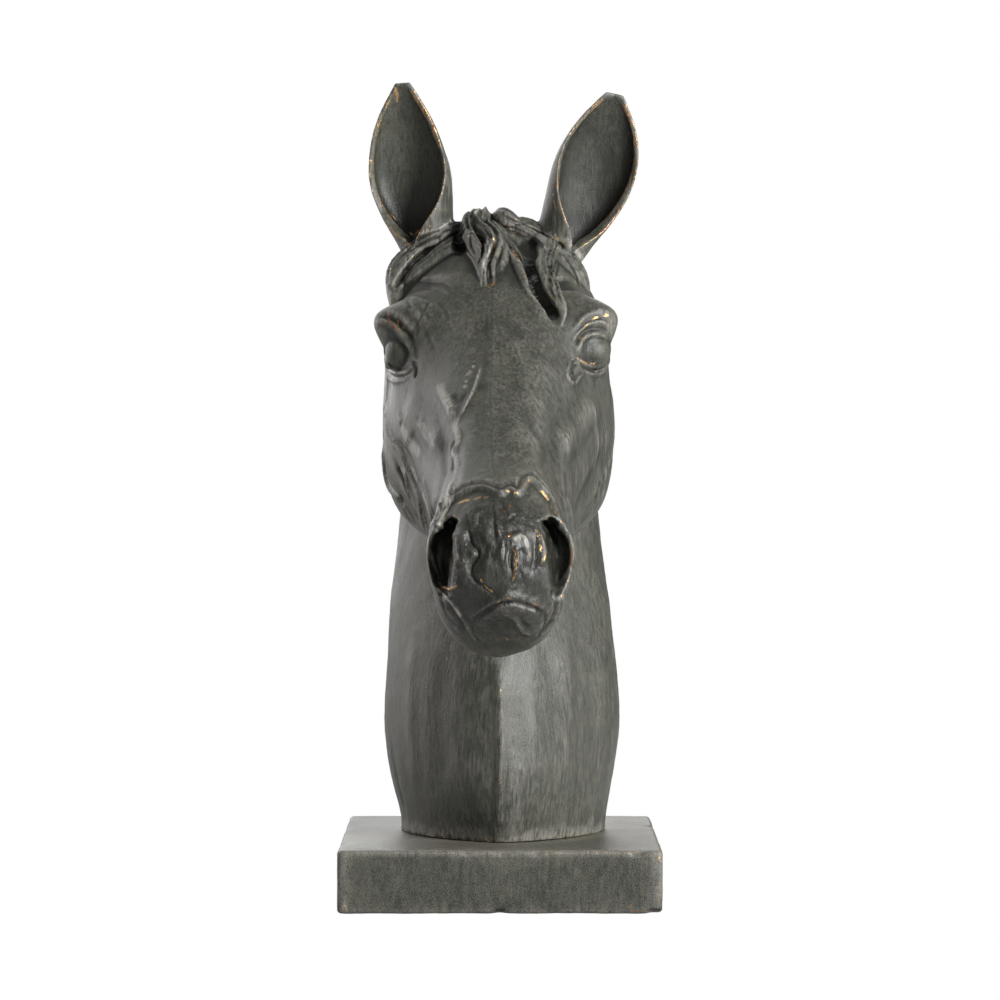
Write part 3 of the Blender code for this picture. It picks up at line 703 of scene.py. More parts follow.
for eye_side in (-1, 1):
    figure_forms.append(closed_skin(eye_ball(eye_side, 40, 56)))
    figure_forms.append(lid_roll(eye_side, 90, 16))

# The forelock and the mane
# Locks of hair modelled on the skull, from the poll down over the brow and out to the ears, and a
# short mane laid in turn to either side of the crest. A lock is a band with a leaning crest and
# combed furrows, and between some of them the skin is cut away.

FORELOCK = (  # half width, height, lean of the crest, furrows, then the way: degrees round the
    # head, s, and lift off the skin
    (15, 12, -0.35, 3, ((-10, -2, 2), (-22, 10, 3), (-38, 17, 5), (-51, 32, 8), (-56, 50, 6),
        (-58, 84, -4))),
    (8, 7, 0.5, 2, ((-9, 10, 0), (-16, 28, 0), (-25, 36, 0), (-36, 42, 0), (-47, 50, 0),
        (-56, 66, -2), (-58, 92, -5))),
    (6, 13, -0.5, 1, ((-5, -4, 5), (-9, 2, 5), (-12, 9, 5), (-13.5, 24, 4), (-12.2, 38, 3),
        (-9.5, 52, 3), (-7.4, 66, 2), (-7, 83, 1), (-6.5, 104, -4))),
    (5, 12, 0.2, 1, ((-4, 0, 4), (-8, 14, 5), (-6.3, 30, 4), (-2.2, 42, 4), (-1.8, 56, 3),
        (-4.2, 71, 2), (-5.4, 86, 1), (-5.7, 106, -4))),
    (4.5, 9, 0.2, 1, ((-2, 4, 2), (-1.7, 25, 2), (1.5, 38, 2), (2.1, 53, 2), (-0.6, 69, 1.5),
        (-1.3, 83, 0.5), (-1.4, 103, -3))),
    (5, 6, 0.5, 1, ((1, 8, 1), (4.2, 30, 1), (5, 48, 0), (3.4, 69, 0), (1.4, 92, -3))),
    (9, 4, 0.8, 2, ((4, 10, 0), (9, 38, 0), (13, 58, 0), (15, 80, 0), (19, 104, -1), (26, 122, -3))),
    (9, 12, -0.5, 3, ((22, 6, 2), (27, 28, 3), (25.4, 50, 3), (22.1, 77, 3), (24.5, 95, 2),
        (28.4, 108, 1), (32.3, 118, 0), (33, 134, -5))),
    (14, 8, -0.2, 4, ((2, -4, 3), (12, 6, 3), (24, 14, 3), (36, 22, 2), (46, 32, 2), (54, 43, 0),
        (60, 56, -5))),
    (6.5, 11, 0, 1, ((-6, -8, 6), (-5, 2, 7), (-6, 12, 6), (-8, 24, 0))),
    (14, 8, 0, 4, ((-4, -8, 3), (-20, -6, 2), (-36, 0, 0), (-50, 12, -1))),
    (14, 8, 0, 4, ((4, -14, 4), (22, -6, 3), (38, 4, 0), (52, 18, -1))),
    (6.5, 9, 0, 1, ((0, -6, 5), (4, 4, 6), (9, 10, 5), (18, 14, -2))),
)
MANE_ROOTS = (444, 412, 372, 330, 288, 246, 204, 162, 122)
LOCK_DROP = 96
MANE_HALF, MANE_HEIGHT, MANE_LEAN, MANE_FURROWS = 21, 9, 0.3, 4
FURROW = 0.42  # depth of a furrow as a share of the lock's height
HAIR_CUTS = (  # how far in, reach, and the way on the skull
    (-4.5, 6.5, ((12, 26, 0), (14, 38, 0), (16, 52, 0), (18, 66, 0))),
    (-4.0, 5.0, ((17, 60, 0), (20, 78, 0), (23, 98, 0), (28, 116, 0))),
    (-3.5, 5.0, ((-15, 8, 0), (-17, 22, 0), (-17, 36, 0), (-15, 50, 0))),
)


def on_skull(form, way):
    """Points of a way given round the head, along it, and in lift from its skin."""
    turn, s, lift = np.array(way, float).T
    skin_turn = np.degrees(np.arctan2(form[..., 0], form[..., 2] - CORE))
    skin_reach = np.hypot(form[..., 0], form[..., 2] - CORE)
    near = ((turn[:, None, None] - skin_turn) / 4) ** 2 + ((s[:, None, None] - form[..., 1]) / 6) ** 2
    weight = np.exp(-near)
    reach = (weight * skin_reach).sum((1, 2)) / weight.sum((1, 2)) + lift
    turn = np.radians(turn)
    return head_point(np.stack([reach * np.sin(turn), s, CORE + reach * np.cos(turn)], axis=1))


def lock_rings(way, lift, half, height, lean, furrows, out, sides):
    """A lock of hair: a band carried along its way, drawn out to a point. Across it, its top is
    height times the cosine of the gap from a crest at lean, taken as a share of that side's
    width, less the furrows' cosine. Its underside is flat and lies below the skin."""
    rows = 9 * len(way)
    lift = through(np.asarray(lift, float)[:, None], rows)[:, :, None] if np.ndim(lift) else lift
    way = through(way, rows)
    along = unit(np.gradient(way, axis=0))
    out = unit(out(way) - (out(way) * along).sum(1, keepdims=True) * along)
    across = np.cross(along, out)[:, None]
    place = np.linspace(0, 1, rows)[:, None, None]
    full = np.clip(np.minimum(0.6 + 1.6 * place, 1) * (1 - place**4), 0.08, 1)
    over = np.linspace(-1, 1, sides)[:, None]
    gap = np.abs(over - lean) / np.where(over < lean, 1 + lean, 1 - lean)
    comb = 1 - FURROW * (0.5 - 0.5 * np.cos(2 * math.pi * furrows * (over - lean) + 5 * place)) * (1 - gap)
    top = height * full * np.cos(math.pi / 2 * gap) ** 0.8 * comb
    under = np.broadcast_to(-(np.maximum(lift, 0) + 6.0), (rows, sides // 2, 1))
    upper = way[:, None] + half * full * over * across + top * out[:, None]
    back = np.linspace(0.8, -0.8, sides // 2)[:, None]
    lower = way[:, None] + half * full * back * across + under * out[:, None]
    return np.concatenate([upper, lower], axis=1)


def from_core(way):
    """The way out of the head at each point, square to the line through its middle."""
    s = (way - head_point((0, 0, CORE))) @ FACE_DOWN
    return way - head_point(np.stack([0 * s, s, 0 * s + CORE], axis=1))


def from_crest(way):
    """The way out of the neck's crest at each point."""
    return way * (1, 0, 0) + (0, 40, 0)


def mane_way(number, root):
    """The way of one lock of the mane: out of the crest, then down one side of it."""
    side = -1 if number % 2 else 1
    heights = np.array([section[0] for section in NECK_SECTIONS])
    crest = np.array([section[3] for section in NECK_SECTIONS])
    place, aside = np.array([(0, 2), (0.3, 7), (0.65, 17), (1, 22)]).T
    height = root - LOCK_DROP * place
    return np.stack([side * aside, np.interp(height, heights, crest) - 3 - 0.011 * aside**2, height], 1)


for half, height, lean, furrows, way in FORELOCK:
    lift = np.array(way)[:, 2]
    lock = lock_rings(on_skull(head_skin, way), lift, half, height, lean, furrows, from_core, 36)
    figure_forms.append(closed_skin(lock))
for number, root in enumerate(MANE_ROOTS):
    lean = -MANE_LEAN if number % 2 else MANE_LEAN
    lock = lock_rings(mane_way(number, root), 0.0, MANE_HALF, MANE_HEIGHT, lean, MANE_FURROWS, from_crest, 48)
    figure_forms.append(closed_skin(lock))

# The figure's skin
# The forms above are cast into one closed skin, as the real figure is one casting. It is then
# carved: ridges and cuts run along ways over it, and soft tool marks cover the rest.

CASTING_CELL = 0.95  # how finely the forms are joined
FIGURE_TRIANGLES = 195000
STEPS = (  # how far the skin steps up, how sharply, how far the step carries, and the way: the
    # skin is raised on the right of the way as it is walked, seen from the front
    # muzzle's hood
    (1.7, 0.8, 12, ((49, 216), (42.5, 228), (39, 236.5), (34.5, 244), (29.5, 249.5), (22, 256.5),
        (18, 253.5), (13.5, 247), (7, 249.5), (2, 247), (-4.5, 248), (-15, 252), (-25, 248),
        (-35.5, 241), (-43.5, 233.5), (-49, 222.5), (-53, 212))),
    # upper lip over the mouth
    (2.2, 0.7, 7, ((32.5, 159.5), (22, 164.5), (10, 167.5), (-1, 166.5), (-7.5, 163.5), (-15, 158),
        (-21, 151.5))),
    # lit plane beside the nose bone
    (2, 0.8, 12, ((-35.5, 296.5), (-39, 306.5), (-46.5, 324))),
    # nose bone's left edge
    (-1.2, 2.5, 16, ((-6, 388), (-8.5, 344.5), (-10, 300.5), (-10.5, 264.5))),
    # orbits
    (1.2, 1, 6, ((79, 376.5), (72.5, 376), (65, 372), (61, 367), (58.5, 360.5))),
    # left of the crack on the muzzle
    (1.2, 0.6, 8, ((-24.5, 233.5), (-23.5, 220), (-22, 211), (-17, 204.5), (-18, 200),
        (-21.5, 194.5), (-21, 186.5), (-14, 179.5))),
    # keel of the neck
    (-1.3, 1.6, 14, ((-1, 126), (-0.5, 67.5), (-0.5, -2.5))),
    # wisp on the left over its shadow, and the hair over the forehead
    (3, 0.6, 8, ((-33, 440.5), (-44, 429.5), (-55, 424.5), (-64.5, 416), (-72, 406.5), (-77.5, 395.5))),
    (1.8, 0.6, 8, ((-26.5, 424.5), (-37, 420.5), (-51.5, 411.5), (-62.5, 404), (-73.5, 395.5))),
    # hair beside the middle lock over the channel
    (2.2, 0.6, 9, ((-2.5, 435), (5.5, 427), (12, 417.5), (18, 410), (21.5, 395.5), (28, 386),
        (34.5, 377.5), (40.5, 368.5))),
    # hair over the poll on the right
    (3, 0.6, 9, ((34.5, 424.5), (26, 431), (14, 438), (3.5, 442), (-7.5, 451))),
)
PAINTED_HIGHLIGHT_MARKS = (  # places given a painted highlight in pale grey: half the width of the mark, and its way
    # left cheek
    (3.6, ((-44, 324), (-39.5, 314), (-35.5, 303.5), (-32.5, 296.5))),
    (0.8, ((-45.5, 325.5), (-42, 317), (-37.5, 306.5), (-34, 298))),
    (0.45, ((-14, 340), (-18.5, 325.5), (-22, 318), (-26.5, 308), (-31.5, 296.5))),
    (2.2, ((-32.5, 295), (-31, 286), (-33, 279))),
    (1.6, ((-35.5, 277.5), (-31.5, 268.5), (-34, 258.5))),
    (1.1, ((-32.5, 255.5), (-36, 242.5), (-42, 229.5), (-46.5, 220.5))),
    (2.2, ((-37, 254), (-39.5, 242.5), (-44, 233.5))),
    (1, ((-82.5, 314), (-80, 290.5), (-72, 276.5), (-65, 258.5), (-59.5, 244), (-54.5, 225.5),
        (-53, 214.5))),
    (0.8, ((-85, 286), (-83.5, 270), (-80, 252.5), (-73.5, 244.5), (-67.5, 233.5), (-60, 222.5))),
    (0.8, ((-64.5, 265.5), (-58, 249.5), (-52, 233.5), (-49, 220.5))),
    (0.8, ((-70.5, 264.5), (-66, 248), (-61.5, 233.5))),
    (4, ((-70.5, 292), (-65, 283), (-60, 277.5))),
    (1.1, ((-56.5, 298), (-52, 290.5), (-48.5, 282))),
    (0.45, ((-19.5, 340), (-23.5, 333), (-26.5, 324))),
    (0.8, ((-82.5, 330), (-84, 308), (-85, 286))),
    # lids on the left
    (0.9, ((-83.5, 350.5), (-82, 340), (-76, 335), (-67.5, 335.5))),
    (0.8, ((-82, 335.5), (-74.5, 330.5), (-67.5, 332))),
    # hair
    (0.8, ((-33, 447), (-44, 440.5), (-55, 437), (-66, 434), (-72.5, 429))),
    (0.8, ((-22, 438), (-11.5, 433.5), (-7.5, 424.5), (-11.5, 416), (-14, 399))),
    (0.8, ((29.5, 424.5), (29, 410), (32.5, 395.5))),
    (0.9, ((-7.5, 451), (3.5, 442), (14, 438), (26, 431), (34.5, 424.5))),
    (1.2, ((-15, 456), (-18.5, 451), (-21.5, 445))),
    (0.8, ((-25, 423), (-19.5, 416), (-15, 405.5))),
    (2, ((49, 432), (56.5, 423), (61, 414.5))),
    # muzzle
    (1.6, ((11.5, 213.5), (17, 216), (20, 209))),
    (1.4, ((10, 166.5), (17, 165), (24.5, 162))),
    (0.7, ((-46.5, 178.5), (-37, 168), (-29, 156.5))),
)
RUBS = (  # places rubbed down to the metal: half the width of the mark, and its way
    # hood over the muzzle
    (0.54, ((-31, 240), (-22, 242.5), (-15, 244), (-7.5, 244.5))),
    (0.36, ((5.5, 249), (10, 248), (13.5, 247))),
    (0.36, ((15.5, 251), (18.5, 254), (22, 256.5))),
    (0.4, ((29.5, 249.5), (34.5, 242.5))),
    (0.48, ((37, 237.5), (40.5, 233))),
    # right half of the muzzle
    (0.48, ((2.5, 235), (4.5, 233))),
    (0.48, ((7, 237.5), (10, 236))),
    (0.48, ((5.5, 230), (8.5, 227))),
    (0.6, ((7, 223.5), (7.5, 217.5), (5.5, 215.5))),
    (0.66, ((10, 206), (12, 201.5), (12, 194.5), (10.5, 188.5), (9, 183.5))),
    (0.42, ((27.5, 219), (29, 212.5), (30, 205), (29, 197))),
    (0.48, ((33, 213.5), (34, 206), (32.5, 198.5))),
    (0.48, ((50.5, 209), (52, 201.5), (50.5, 191.5))),
    # left half of the muzzle
    (0.66, ((-43.5, 179), (-37.5, 177), (-32.5, 179.5))),
    (0.6, ((-34, 232), (-32.5, 228.5))),
    (0.48, ((-14, 183.5), (-10, 178.5), (-6, 175.5))),
    # mouth and lower lip
    (0.48, ((-2.5, 166), (-0.5, 169.5))),
    (0.48, ((4.5, 171), (9, 171))),
    (0.48, ((24.5, 166.5), (28, 164.5))),
    (0.6, ((3.5, 143.5), (5.5, 139.5))),
    (0.48, ((14, 147), (18.5, 143.5))),
    # over the eye on the left
    (0.78, ((-82, 378), (-80.5, 372))),
    (0.78, ((-80, 370), (-75.5, 368))),
    (0.66, ((-74.5, 374.5), (-74, 369))),
    (0.66, ((-73.5, 366.5), (-69.5, 368.5))),
    # eye on the right
    (0.36, ((58, 359), (59.5, 365), (65, 371.5))),
    (0.4, ((66.5, 373), (72.5, 376))),
    (0.5, ((75.5, 376.5), (79, 376.5))),
    (0.36, ((56.5, 345), (64, 341.5), (71, 342.5))),
    (0.54, ((65, 338), (72.5, 338))),
    (0.6, ((52, 346), (53, 344.5))),
    # lock over the forehead
    (0.45, ((-5.5, 433.5), (-3.5, 427.5), (-5.5, 421.5))),
    (0.48, ((-6, 420.5), (-7, 413))),
    (0.96, ((-4.5, 400.5), (-7, 397))),
    # hair on the right
    (0.48, ((10, 423), (15, 416))),
    (0.48, ((0.5, 440.5), (5.5, 438.5), (10.5, 437))),
    (0.54, ((38.5, 433.5), (43.5, 431))),
    (0.6, ((40.5, 423), (41, 421))),
    (0.48, ((34, 394), (38.5, 387.5))),
    (0.42, ((42, 403.5), (42.5, 400))),
    # ear on the left
    (1.08, ((-76, 541.5), (-74, 534))),
    (0.6, ((-90, 525), (-92, 516.5))),
    (0.48, ((-79, 450), (-77.5, 448))),
    (0.48, ((-74.5, 442), (-73.5, 440))),
    (0.6, ((-64.5, 435.5), (-57, 438), (-51.5, 440.5))),
    # ear on the right
    (0.54, ((38.5, 464.5), (39.5, 457.5), (42, 451.5))),
    (0.6, ((80, 536), (84, 534.5))),
    (0.6, ((92, 525), (95, 516.5))),
    (0.48, ((44, 430.5), (47.5, 427))),
)
EYE_LEVEL = (0, -3030, 300)  # where the figure is seen from when its front is drawn
FRONT_STROKES = (  # how far out (or in), reach, and the way as x and height on the plane through y = 0
    # eye on the viewer's left
    (1.6, 1.9, ((-92, 370.5), (-83.5, 372), (-74, 365), (-66, 354.5), (-61, 346))),
    (-1.3, 1.5, ((-87, 376), (-78.5, 373.5), (-69.5, 366.5), (-62.5, 357))),
    (1, 1.8, ((-82, 379.5), (-73.5, 376), (-64.5, 367))),
    (1.6, 1.8, ((-85, 351), (-82.5, 343.5), (-80, 337), (-74, 334.5), (-68, 335.5), (-62.5, 340))),
    (-1.1, 1.4, ((-84, 340), (-80, 333.5), (-73.5, 331.5), (-66.5, 333))),
    (1, 1.5, ((-82.5, 333.5), (-77.5, 329), (-72, 329), (-66.5, 331.5))),
    (-1.6, 1.6, ((-64, 343), (-61, 338), (-62.5, 330))),
    # eye on the viewer's right
    (1.7, 1.8, ((57, 349.5), (59.5, 357.5), (65, 362), (72.5, 362.5), (78.5, 358.5))),
    (-1.3, 1.4, ((55, 354.5), (58.5, 362), (65, 366.5), (73.5, 367), (79, 363.5))),
    (1.1, 1.4, ((53.5, 357.5), (58, 365.5), (65, 370.5), (73.5, 372), (80, 368.5))),
    (-1, 1.4, ((55, 363.5), (60, 370), (67.5, 374.5), (75.5, 376))),
    (1.4, 1.9, ((53.5, 365), (59.5, 373.5), (66.5, 378.5), (75.5, 380), (81.5, 376))),
    (1.5, 1.8, ((56.5, 346), (61.5, 341.5), (67.5, 339.5), (73.5, 340), (78.5, 344.5))),
    (-1, 1.4, ((58, 342.5), (65, 337), (72.5, 337), (77.5, 340))),
    (1, 1.4, ((60, 337), (66.5, 334.5), (72.5, 334.5), (77.5, 338))),
    (-2.2, 1.8, ((56.5, 343.5), (53.5, 339.5), (53, 333.5))),
    (1.3, 1.5, ((52, 341.5), (48.5, 336.5), (50, 330), (53.5, 327.5), (58, 332), (61, 336.5))),
    # face ridges on the left
    (-0.9, 4, ((-48.5, 315.5), (-42.5, 298), (-40.5, 286), (-41, 271.5), (-42, 257), (-47, 239.5),
        (-51.5, 223.5))),
    (1.3, 1.3, ((-14, 340), (-18.5, 325.5), (-22, 318), (-26.5, 308), (-31.5, 296.5))),
    (2.2, 3, ((-32.5, 296.5), (-30, 284.5), (-33, 277.5), (-31, 268.5), (-32.5, 257))),
    (2.8, 2.4, ((-32.5, 257), (-36, 244), (-42, 229.5), (-46.5, 218.5))),
    (2.1, 1.3, ((-38.5, 242.5), (-43.5, 231), (-47, 220.5))),
    (1.5, 1.3, ((-32.5, 286), (-36, 279.5))),
    (1.5, 1.3, ((-33, 273), (-35.5, 263))),
    (-1.2, 3, ((-34, 319.5), (-29.5, 314), (-25, 322.5))),
    (-0.8, 3, ((-39.5, 286), (-40.5, 270), (-39.5, 258.5))),
    (-0.8, 3, ((-41, 252.5), (-46.5, 239.5), (-50.5, 225))),
    (1.2, 5, ((-28, 279), (-26.5, 264.5), (-30, 249.5))),
    (2.4, 9, ((-69, 300.5), (-65, 284.5))),
    (1.2, 2.5, ((-74.5, 306.5), (-72, 298))),
    (-0.6, 1.6, ((-58.5, 303), (-56, 298))),
    (1, 3.2, ((-57, 300.5), (-53, 292), (-49, 282))),
    (3.2, 1.7, ((-82.5, 314), (-80, 290.5), (-72, 276.5), (-65, 258.5), (-59.5, 244),
        (-54.5, 225.5), (-53, 214.5))),
    (-1.8, 2.4, ((-75.5, 284.5), (-66.5, 273), (-60, 255.5), (-56, 242.5))),
    (-2, 2, ((-78.5, 275), (-71, 257), (-65, 242.5), (-59.5, 226.5))),
    (2.8, 1.5, ((-85, 286), (-83.5, 270), (-80, 252.5), (-73.5, 244.5), (-67.5, 233.5), (-60, 222.5))),
    (-2.4, 1.6, ((-75.5, 265.5), (-72.5, 260), (-67.5, 249))),
    (-2.6, 1.6, ((-72.5, 246), (-69.5, 236.5), (-66, 227))),
    (2.1, 1.5, ((-64.5, 265.5), (-58, 249.5), (-52, 233.5), (-49, 220.5))),
    (1.8, 1.4, ((-70.5, 264.5), (-66, 248), (-61.5, 233.5))),
    (1.6, 1.3, ((-56.5, 258.5), (-52, 242.5), (-48.5, 226.5))),
    (-1, 1.6, ((-60, 260), (-55, 242.5), (-50.5, 228))),
    (1.2, 2.5, ((-80.5, 335.5), (-82, 321), (-83.5, 306.5))),
    (1.5, 1.4, ((-83.5, 312.5), (-84, 298), (-84, 283))),
    (1.6, 5, ((-37, 318), (-32.5, 305))),
    (1, 1.4, ((-39.5, 322.5), (-35.5, 311), (-32.5, 300.5))),
    # face on the right
    (-0.9, 5, ((21, 309.5), (21.5, 298), (28, 288.5), (31.5, 276.5), (29.5, 264.5))),
    (1.4, 8, ((43.5, 318), (46.5, 286), (43.5, 260.5), (47.5, 239))),
    (1.1, 2.6, ((47.5, 245.5), (51.5, 231.5), (53, 216))),
    (0.9, 2.2, ((40.5, 251), (46.5, 239.5), (49, 228))),
    (-2.2, 2.2, ((72.5, 257), (71, 248), (69.5, 240))),
    (1.2, 2.6, ((76, 267), (75.5, 255.5), (74, 244))),
    (1, 3, ((68, 236.5), (62.5, 228.5), (55, 221.5))),
    (1, 4, ((65, 318), (70.5, 286), (68, 260))),
    (-0.9, 3, ((72.5, 312.5), (76, 286), (74, 264.5))),
    # forehead
    (-0.35, 0.8, ((-7, 394), (-6, 352), (-7, 315.5), (-5.5, 279), (-4, 252.5))),
    (1, 3.6, ((-76, 378), (-69, 373), (-64, 363.5))),
    (-0.8, 2.4, ((-70.5, 379.5), (-62.5, 372), (-58.5, 363.5))),
    (-0.5, 1.6, ((-56, 366.5), (-50, 357.5), (-47, 350.5))),
    (-0.8, 1.4, ((-60, 385.5), (-57, 377.5), (-61, 370))),
    (-0.8, 1.4, ((-51.5, 386.5), (-54.5, 380), (-50, 373))),
    (0.8, 1.6, ((-66, 391), (-56, 388), (-47, 383))),
    (-0.6, 1.4, ((-45.5, 385.5), (-39.5, 379.5), (-37, 372))),
    (0.6, 1.8, ((-53, 400), (-44, 397), (-37, 391))),
    (-0.7, 1.6, ((-54.5, 404), (-45.5, 403), (-35.5, 397))),
    (-0.6, 1.3, ((-67.5, 388), (-64.5, 381.5))),
    # hood over the muzzle
    (1.9, 2.3, ((-53, 212), (-49, 222.5), (-43.5, 233.5), (-35.5, 241), (-25, 247.5), (-15, 251),
        (-4.5, 248), (2, 247), (7, 249.5), (13.5, 247), (18, 253.5), (22, 256.5), (29.5, 249.5),
        (34.5, 244), (39, 236.5), (42.5, 228), (49, 216))),
    (-1.5, 2.4, ((-51.5, 219), (-45.5, 233), (-37.5, 243), (-27.5, 250.5), (-15, 254), (-4, 252),
        (2, 250.5), (7.5, 253.5), (13, 251), (17, 257.5), (23, 260.5), (31.5, 252.5), (37.5, 245.5),
        (42.5, 236.5), (48.5, 225))),
    # muzzle, its crack, groove, slabs and bumps
    (0.9, 2.6, ((-16.5, 233.5), (-13.5, 228), (-15, 220.5))),
    (0.9, 2.4, ((-9, 225), (-10.5, 216), (-8.5, 209))),
    (0.8, 2.2, ((-12, 197), (-8.5, 191.5), (-10, 184))),
    (-0.7, 1.6, ((-15, 216), (-10.5, 207.5), (-12, 198.5))),
    (-1.7, 1.7, ((-24.5, 232), (-23.5, 220), (-22, 211), (-17, 204.5), (-18, 200), (-21.5, 194.5),
        (-21, 186.5), (-14, 180.5), (-7, 175.5), (-1, 171))),
    (-0.9, 1.2, ((-4, 242.5), (-4, 228), (-2.5, 209.5))),
    (0.7, 1.6, ((-2, 241), (-2, 226.5), (-0.5, 207.5))),
    (2.2, 4, ((-30, 222.5), (-29.5, 209.5), (-27.5, 197), (-26.5, 186.5))),
    (1.6, 6, ((10, 219), (13.5, 204.5))),
    (-2, 1, ((9, 206), (7.5, 198.5), (8.5, 189))),
    (1.3, 1, ((10.5, 207.5), (13, 201.5), (13, 193.5), (10.5, 186.5), (8.5, 181))),
    (0.8, 1, ((6, 205), (4.5, 197), (6, 187.5))),
    (0.9, 2.4, ((17, 216), (20, 204.5), (19.5, 193))),
    (-0.8, 1.6, ((24.5, 213.5), (25, 201.5), (21.5, 188.5))),
    (1, 1.3, ((2, 213.5), (1, 201.5), (2.5, 191.5))),
    (-0.9, 1.2, ((13.5, 191.5), (16.5, 185.5), (15, 179.5))),
    (1.8, 1.8, ((27.5, 218.5), (31, 210.5), (31.5, 201.5), (29.5, 193.5))),
    (1, 1.8, ((29, 225), (35.5, 217.5), (37, 208), (36, 198.5))),
    (-1.4, 2, ((25, 216), (26, 201.5), (23, 188.5))),
    (1.1, 1.9, ((-51.5, 207.5), (-49, 196.5), (-45, 187), (-39, 178.5))),
    (1.3, 2, ((-49, 216), (-42.5, 225.5), (-35.5, 230))),
    (1.4, 2, ((28, 230), (38.5, 228), (45, 222.5), (50.5, 213.5), (53, 201.5), (49, 189),
        (40.5, 177.5))),
    (-1, 2.4, ((-0.5, 238), (5.5, 233.5), (10.5, 228))),
    (1, 2, ((4, 236.5), (10, 231))),
    # lips and chin
    (1.2, 2.6, ((-19.5, 157), (-11.5, 163.5), (-2.5, 169.5), (6, 172.5), (15.5, 170.5), (31.5, 163.5))),
    (-2.6, 1.8, ((-21, 151.5), (-15, 158), (-7.5, 163.5), (-1, 166.5), (10, 167.5), (22, 164.5),
        (32.5, 159.5))),
    (1.8, 1.5, ((-45.5, 178.5), (-35.5, 168), (-28, 156.5), (-18, 140.5))),
    (-1.8, 2, ((-38.5, 166.5), (-31.5, 155.5), (-25, 144.5))),
    (-1.3, 1.8, ((-43.5, 170.5), (-39, 159.5), (-31.5, 148.5))),
    (1, 1.8, ((-41, 165), (-36, 155), (-29, 144.5))),
    (1.1, 1.6, ((10.5, 157), (13, 150.5), (17, 146), (23.5, 143.5))),
    (-1.1, 1.8, ((14, 158), (17, 151.5), (21.5, 148.5))),
    (-1.3, 1.4, ((36, 177), (40.5, 166.5), (37.5, 155), (29.5, 143.5))),
    (-1.1, 1.1, ((-21, 150.5), (-19.5, 144), (-14, 137.5))),
    (-1, 1.1, ((33, 160), (32.5, 150.5), (26.5, 140.5))),
    (0.9, 1, ((42, 172.5), (42.5, 162), (37.5, 152))),
    (1, 3, ((43.5, 175.5), (45.5, 165), (40.5, 153.5))),
    # neck
    (-1.4, 8, ((12, 140.5), (13, 96.5), (13, 45.5))),
    (1.2, 3, ((-2, 126), (-1, 82), (-1, 31), (-1, -4))),
    (-1, 9, ((-39.5, 133), (-44, 82), (-42.5, 31))),
    (1.2, 7, ((-62.5, 140.5), (-66, 89.5), (-63, 31))),
    (-1, 4, ((-80, 67.5), (-75.5, 38.5), (-69, 13))),
    (1, 8, ((43.5, 140.5), (47.5, 89.5), (45, 31))),
    (-1, 8, ((64, 133), (66.5, 82), (64, 31))),
    # hair: pocket beside the middle lock, channel, and grooves
    (-6, 3.2, ((-26, 443.5), (-30, 433.5), (-31.5, 424.5))),
    (-6, 3.4, ((3.5, 435.5), (14, 421.5), (23, 408.5), (27.5, 395.5), (34.5, 384), (39.5, 373.5))),
    (-2.9, 1.4, ((20, 440.5), (33, 435), (42, 429.5), (47.5, 424.5))),
    (-1.1, 1.6, ((38.5, 416), (35.5, 400), (40.5, 389))),
    (-0.9, 1.1, ((43.5, 416), (41, 400), (44, 388))),
    (-3.6, 1.8, ((-48.5, 427), (-61.5, 416.5), (-71, 405), (-77, 397))),
    (-2.2, 0.9, ((-17, 435), (-12, 429), (-13.5, 420.5), (-16.5, 413))),
    (-2.6, 1, ((-10.5, 438), (-4.5, 430.5), (-6, 421), (-9, 411.5), (-9, 400))),
    (-1.7, 0.9, ((-21, 439), (-21.5, 429), (-18, 420.5))),
    (-1.9, 0.9, ((-0.5, 432), (1, 423), (-2, 414.5), (-2.5, 404))),
    (1.2, 0.9, ((-14, 432), (-10, 426), (-11.5, 419), (-14, 411.5))),
    (-1.4, 0.9, ((-39.5, 442), (-53, 435.5), (-64.5, 427.5), (-70.5, 419))),
    (-1.4, 0.9, ((-44, 435), (-56, 429.5), (-66, 421.5))),
    (-1.6, 0.9, ((1, 450), (14, 443), (29, 437))),
    (-1.4, 0.9, ((52, 423), (59.5, 413), (64, 401.5))),
    (-1.4, 0.9, ((46.5, 421.5), (53.5, 410), (58, 397))),
    # nostrils' rims
    (1.3, 1.3, ((-29, 228), (-31.5, 220), (-33, 209.5), (-32.5, 198.5), (-29.5, 188.5))),
    (1.3, 1.1, ((-46.5, 184), (-41, 178.5), (-35.5, 177.5), (-31, 182))),
    (1.2, 1.1, ((26, 227), (33, 228.5), (40.5, 226.5), (46.5, 220.5))),
    (1, 1.1, ((-51.5, 207.5), (-49, 196.5), (-45.5, 187))),
)
SIDE_STROKES = (  # the same on the parts that turn away from the front, in the head's frame, both sides
    (3.0, 9, ((62, 152, -50), (52, 196, -44), (42, 232, -33))),
    (-3.5, 15, ((44, 66, 2), (54, 80, -4))),
    (-2.5, 4, ((25, 368, -84), (33, 358, -84), (41, 344, -80), (42, 324, -80))),
    (-2.5, 12, ((30, 250, -60), (44, 210, -84), (52, 180, -92))),
    (-3.0, 7, ((66, 60, -120), (76, 100, -150), (58, 140, -166))),
    (1.6, 5, ((80, 90, -70), (82, 130, -90), (70, 170, -100), (56, 210, -104))),
    (-1.4, 5, ((74, 160, -80), (60, 200, -86), (46, 236, -84))),
)


def on_front(tree, way):
    """The way carried onto the skin along the lines of sight from EYE_LEVEL through its points on
    the plane y = 0. Points whose line misses the figure are left out."""
    flat = through(way, 4 * len(way))
    placed = []
    for x, height in flat:
        sight = Vector((x, 0, height)) - Vector(EYE_LEVEL)
        met = tree.ray_cast(Vector(EYE_LEVEL), sight.normalized())[0]
        if met is not None:
            placed.append(met)
    return np.array(placed)


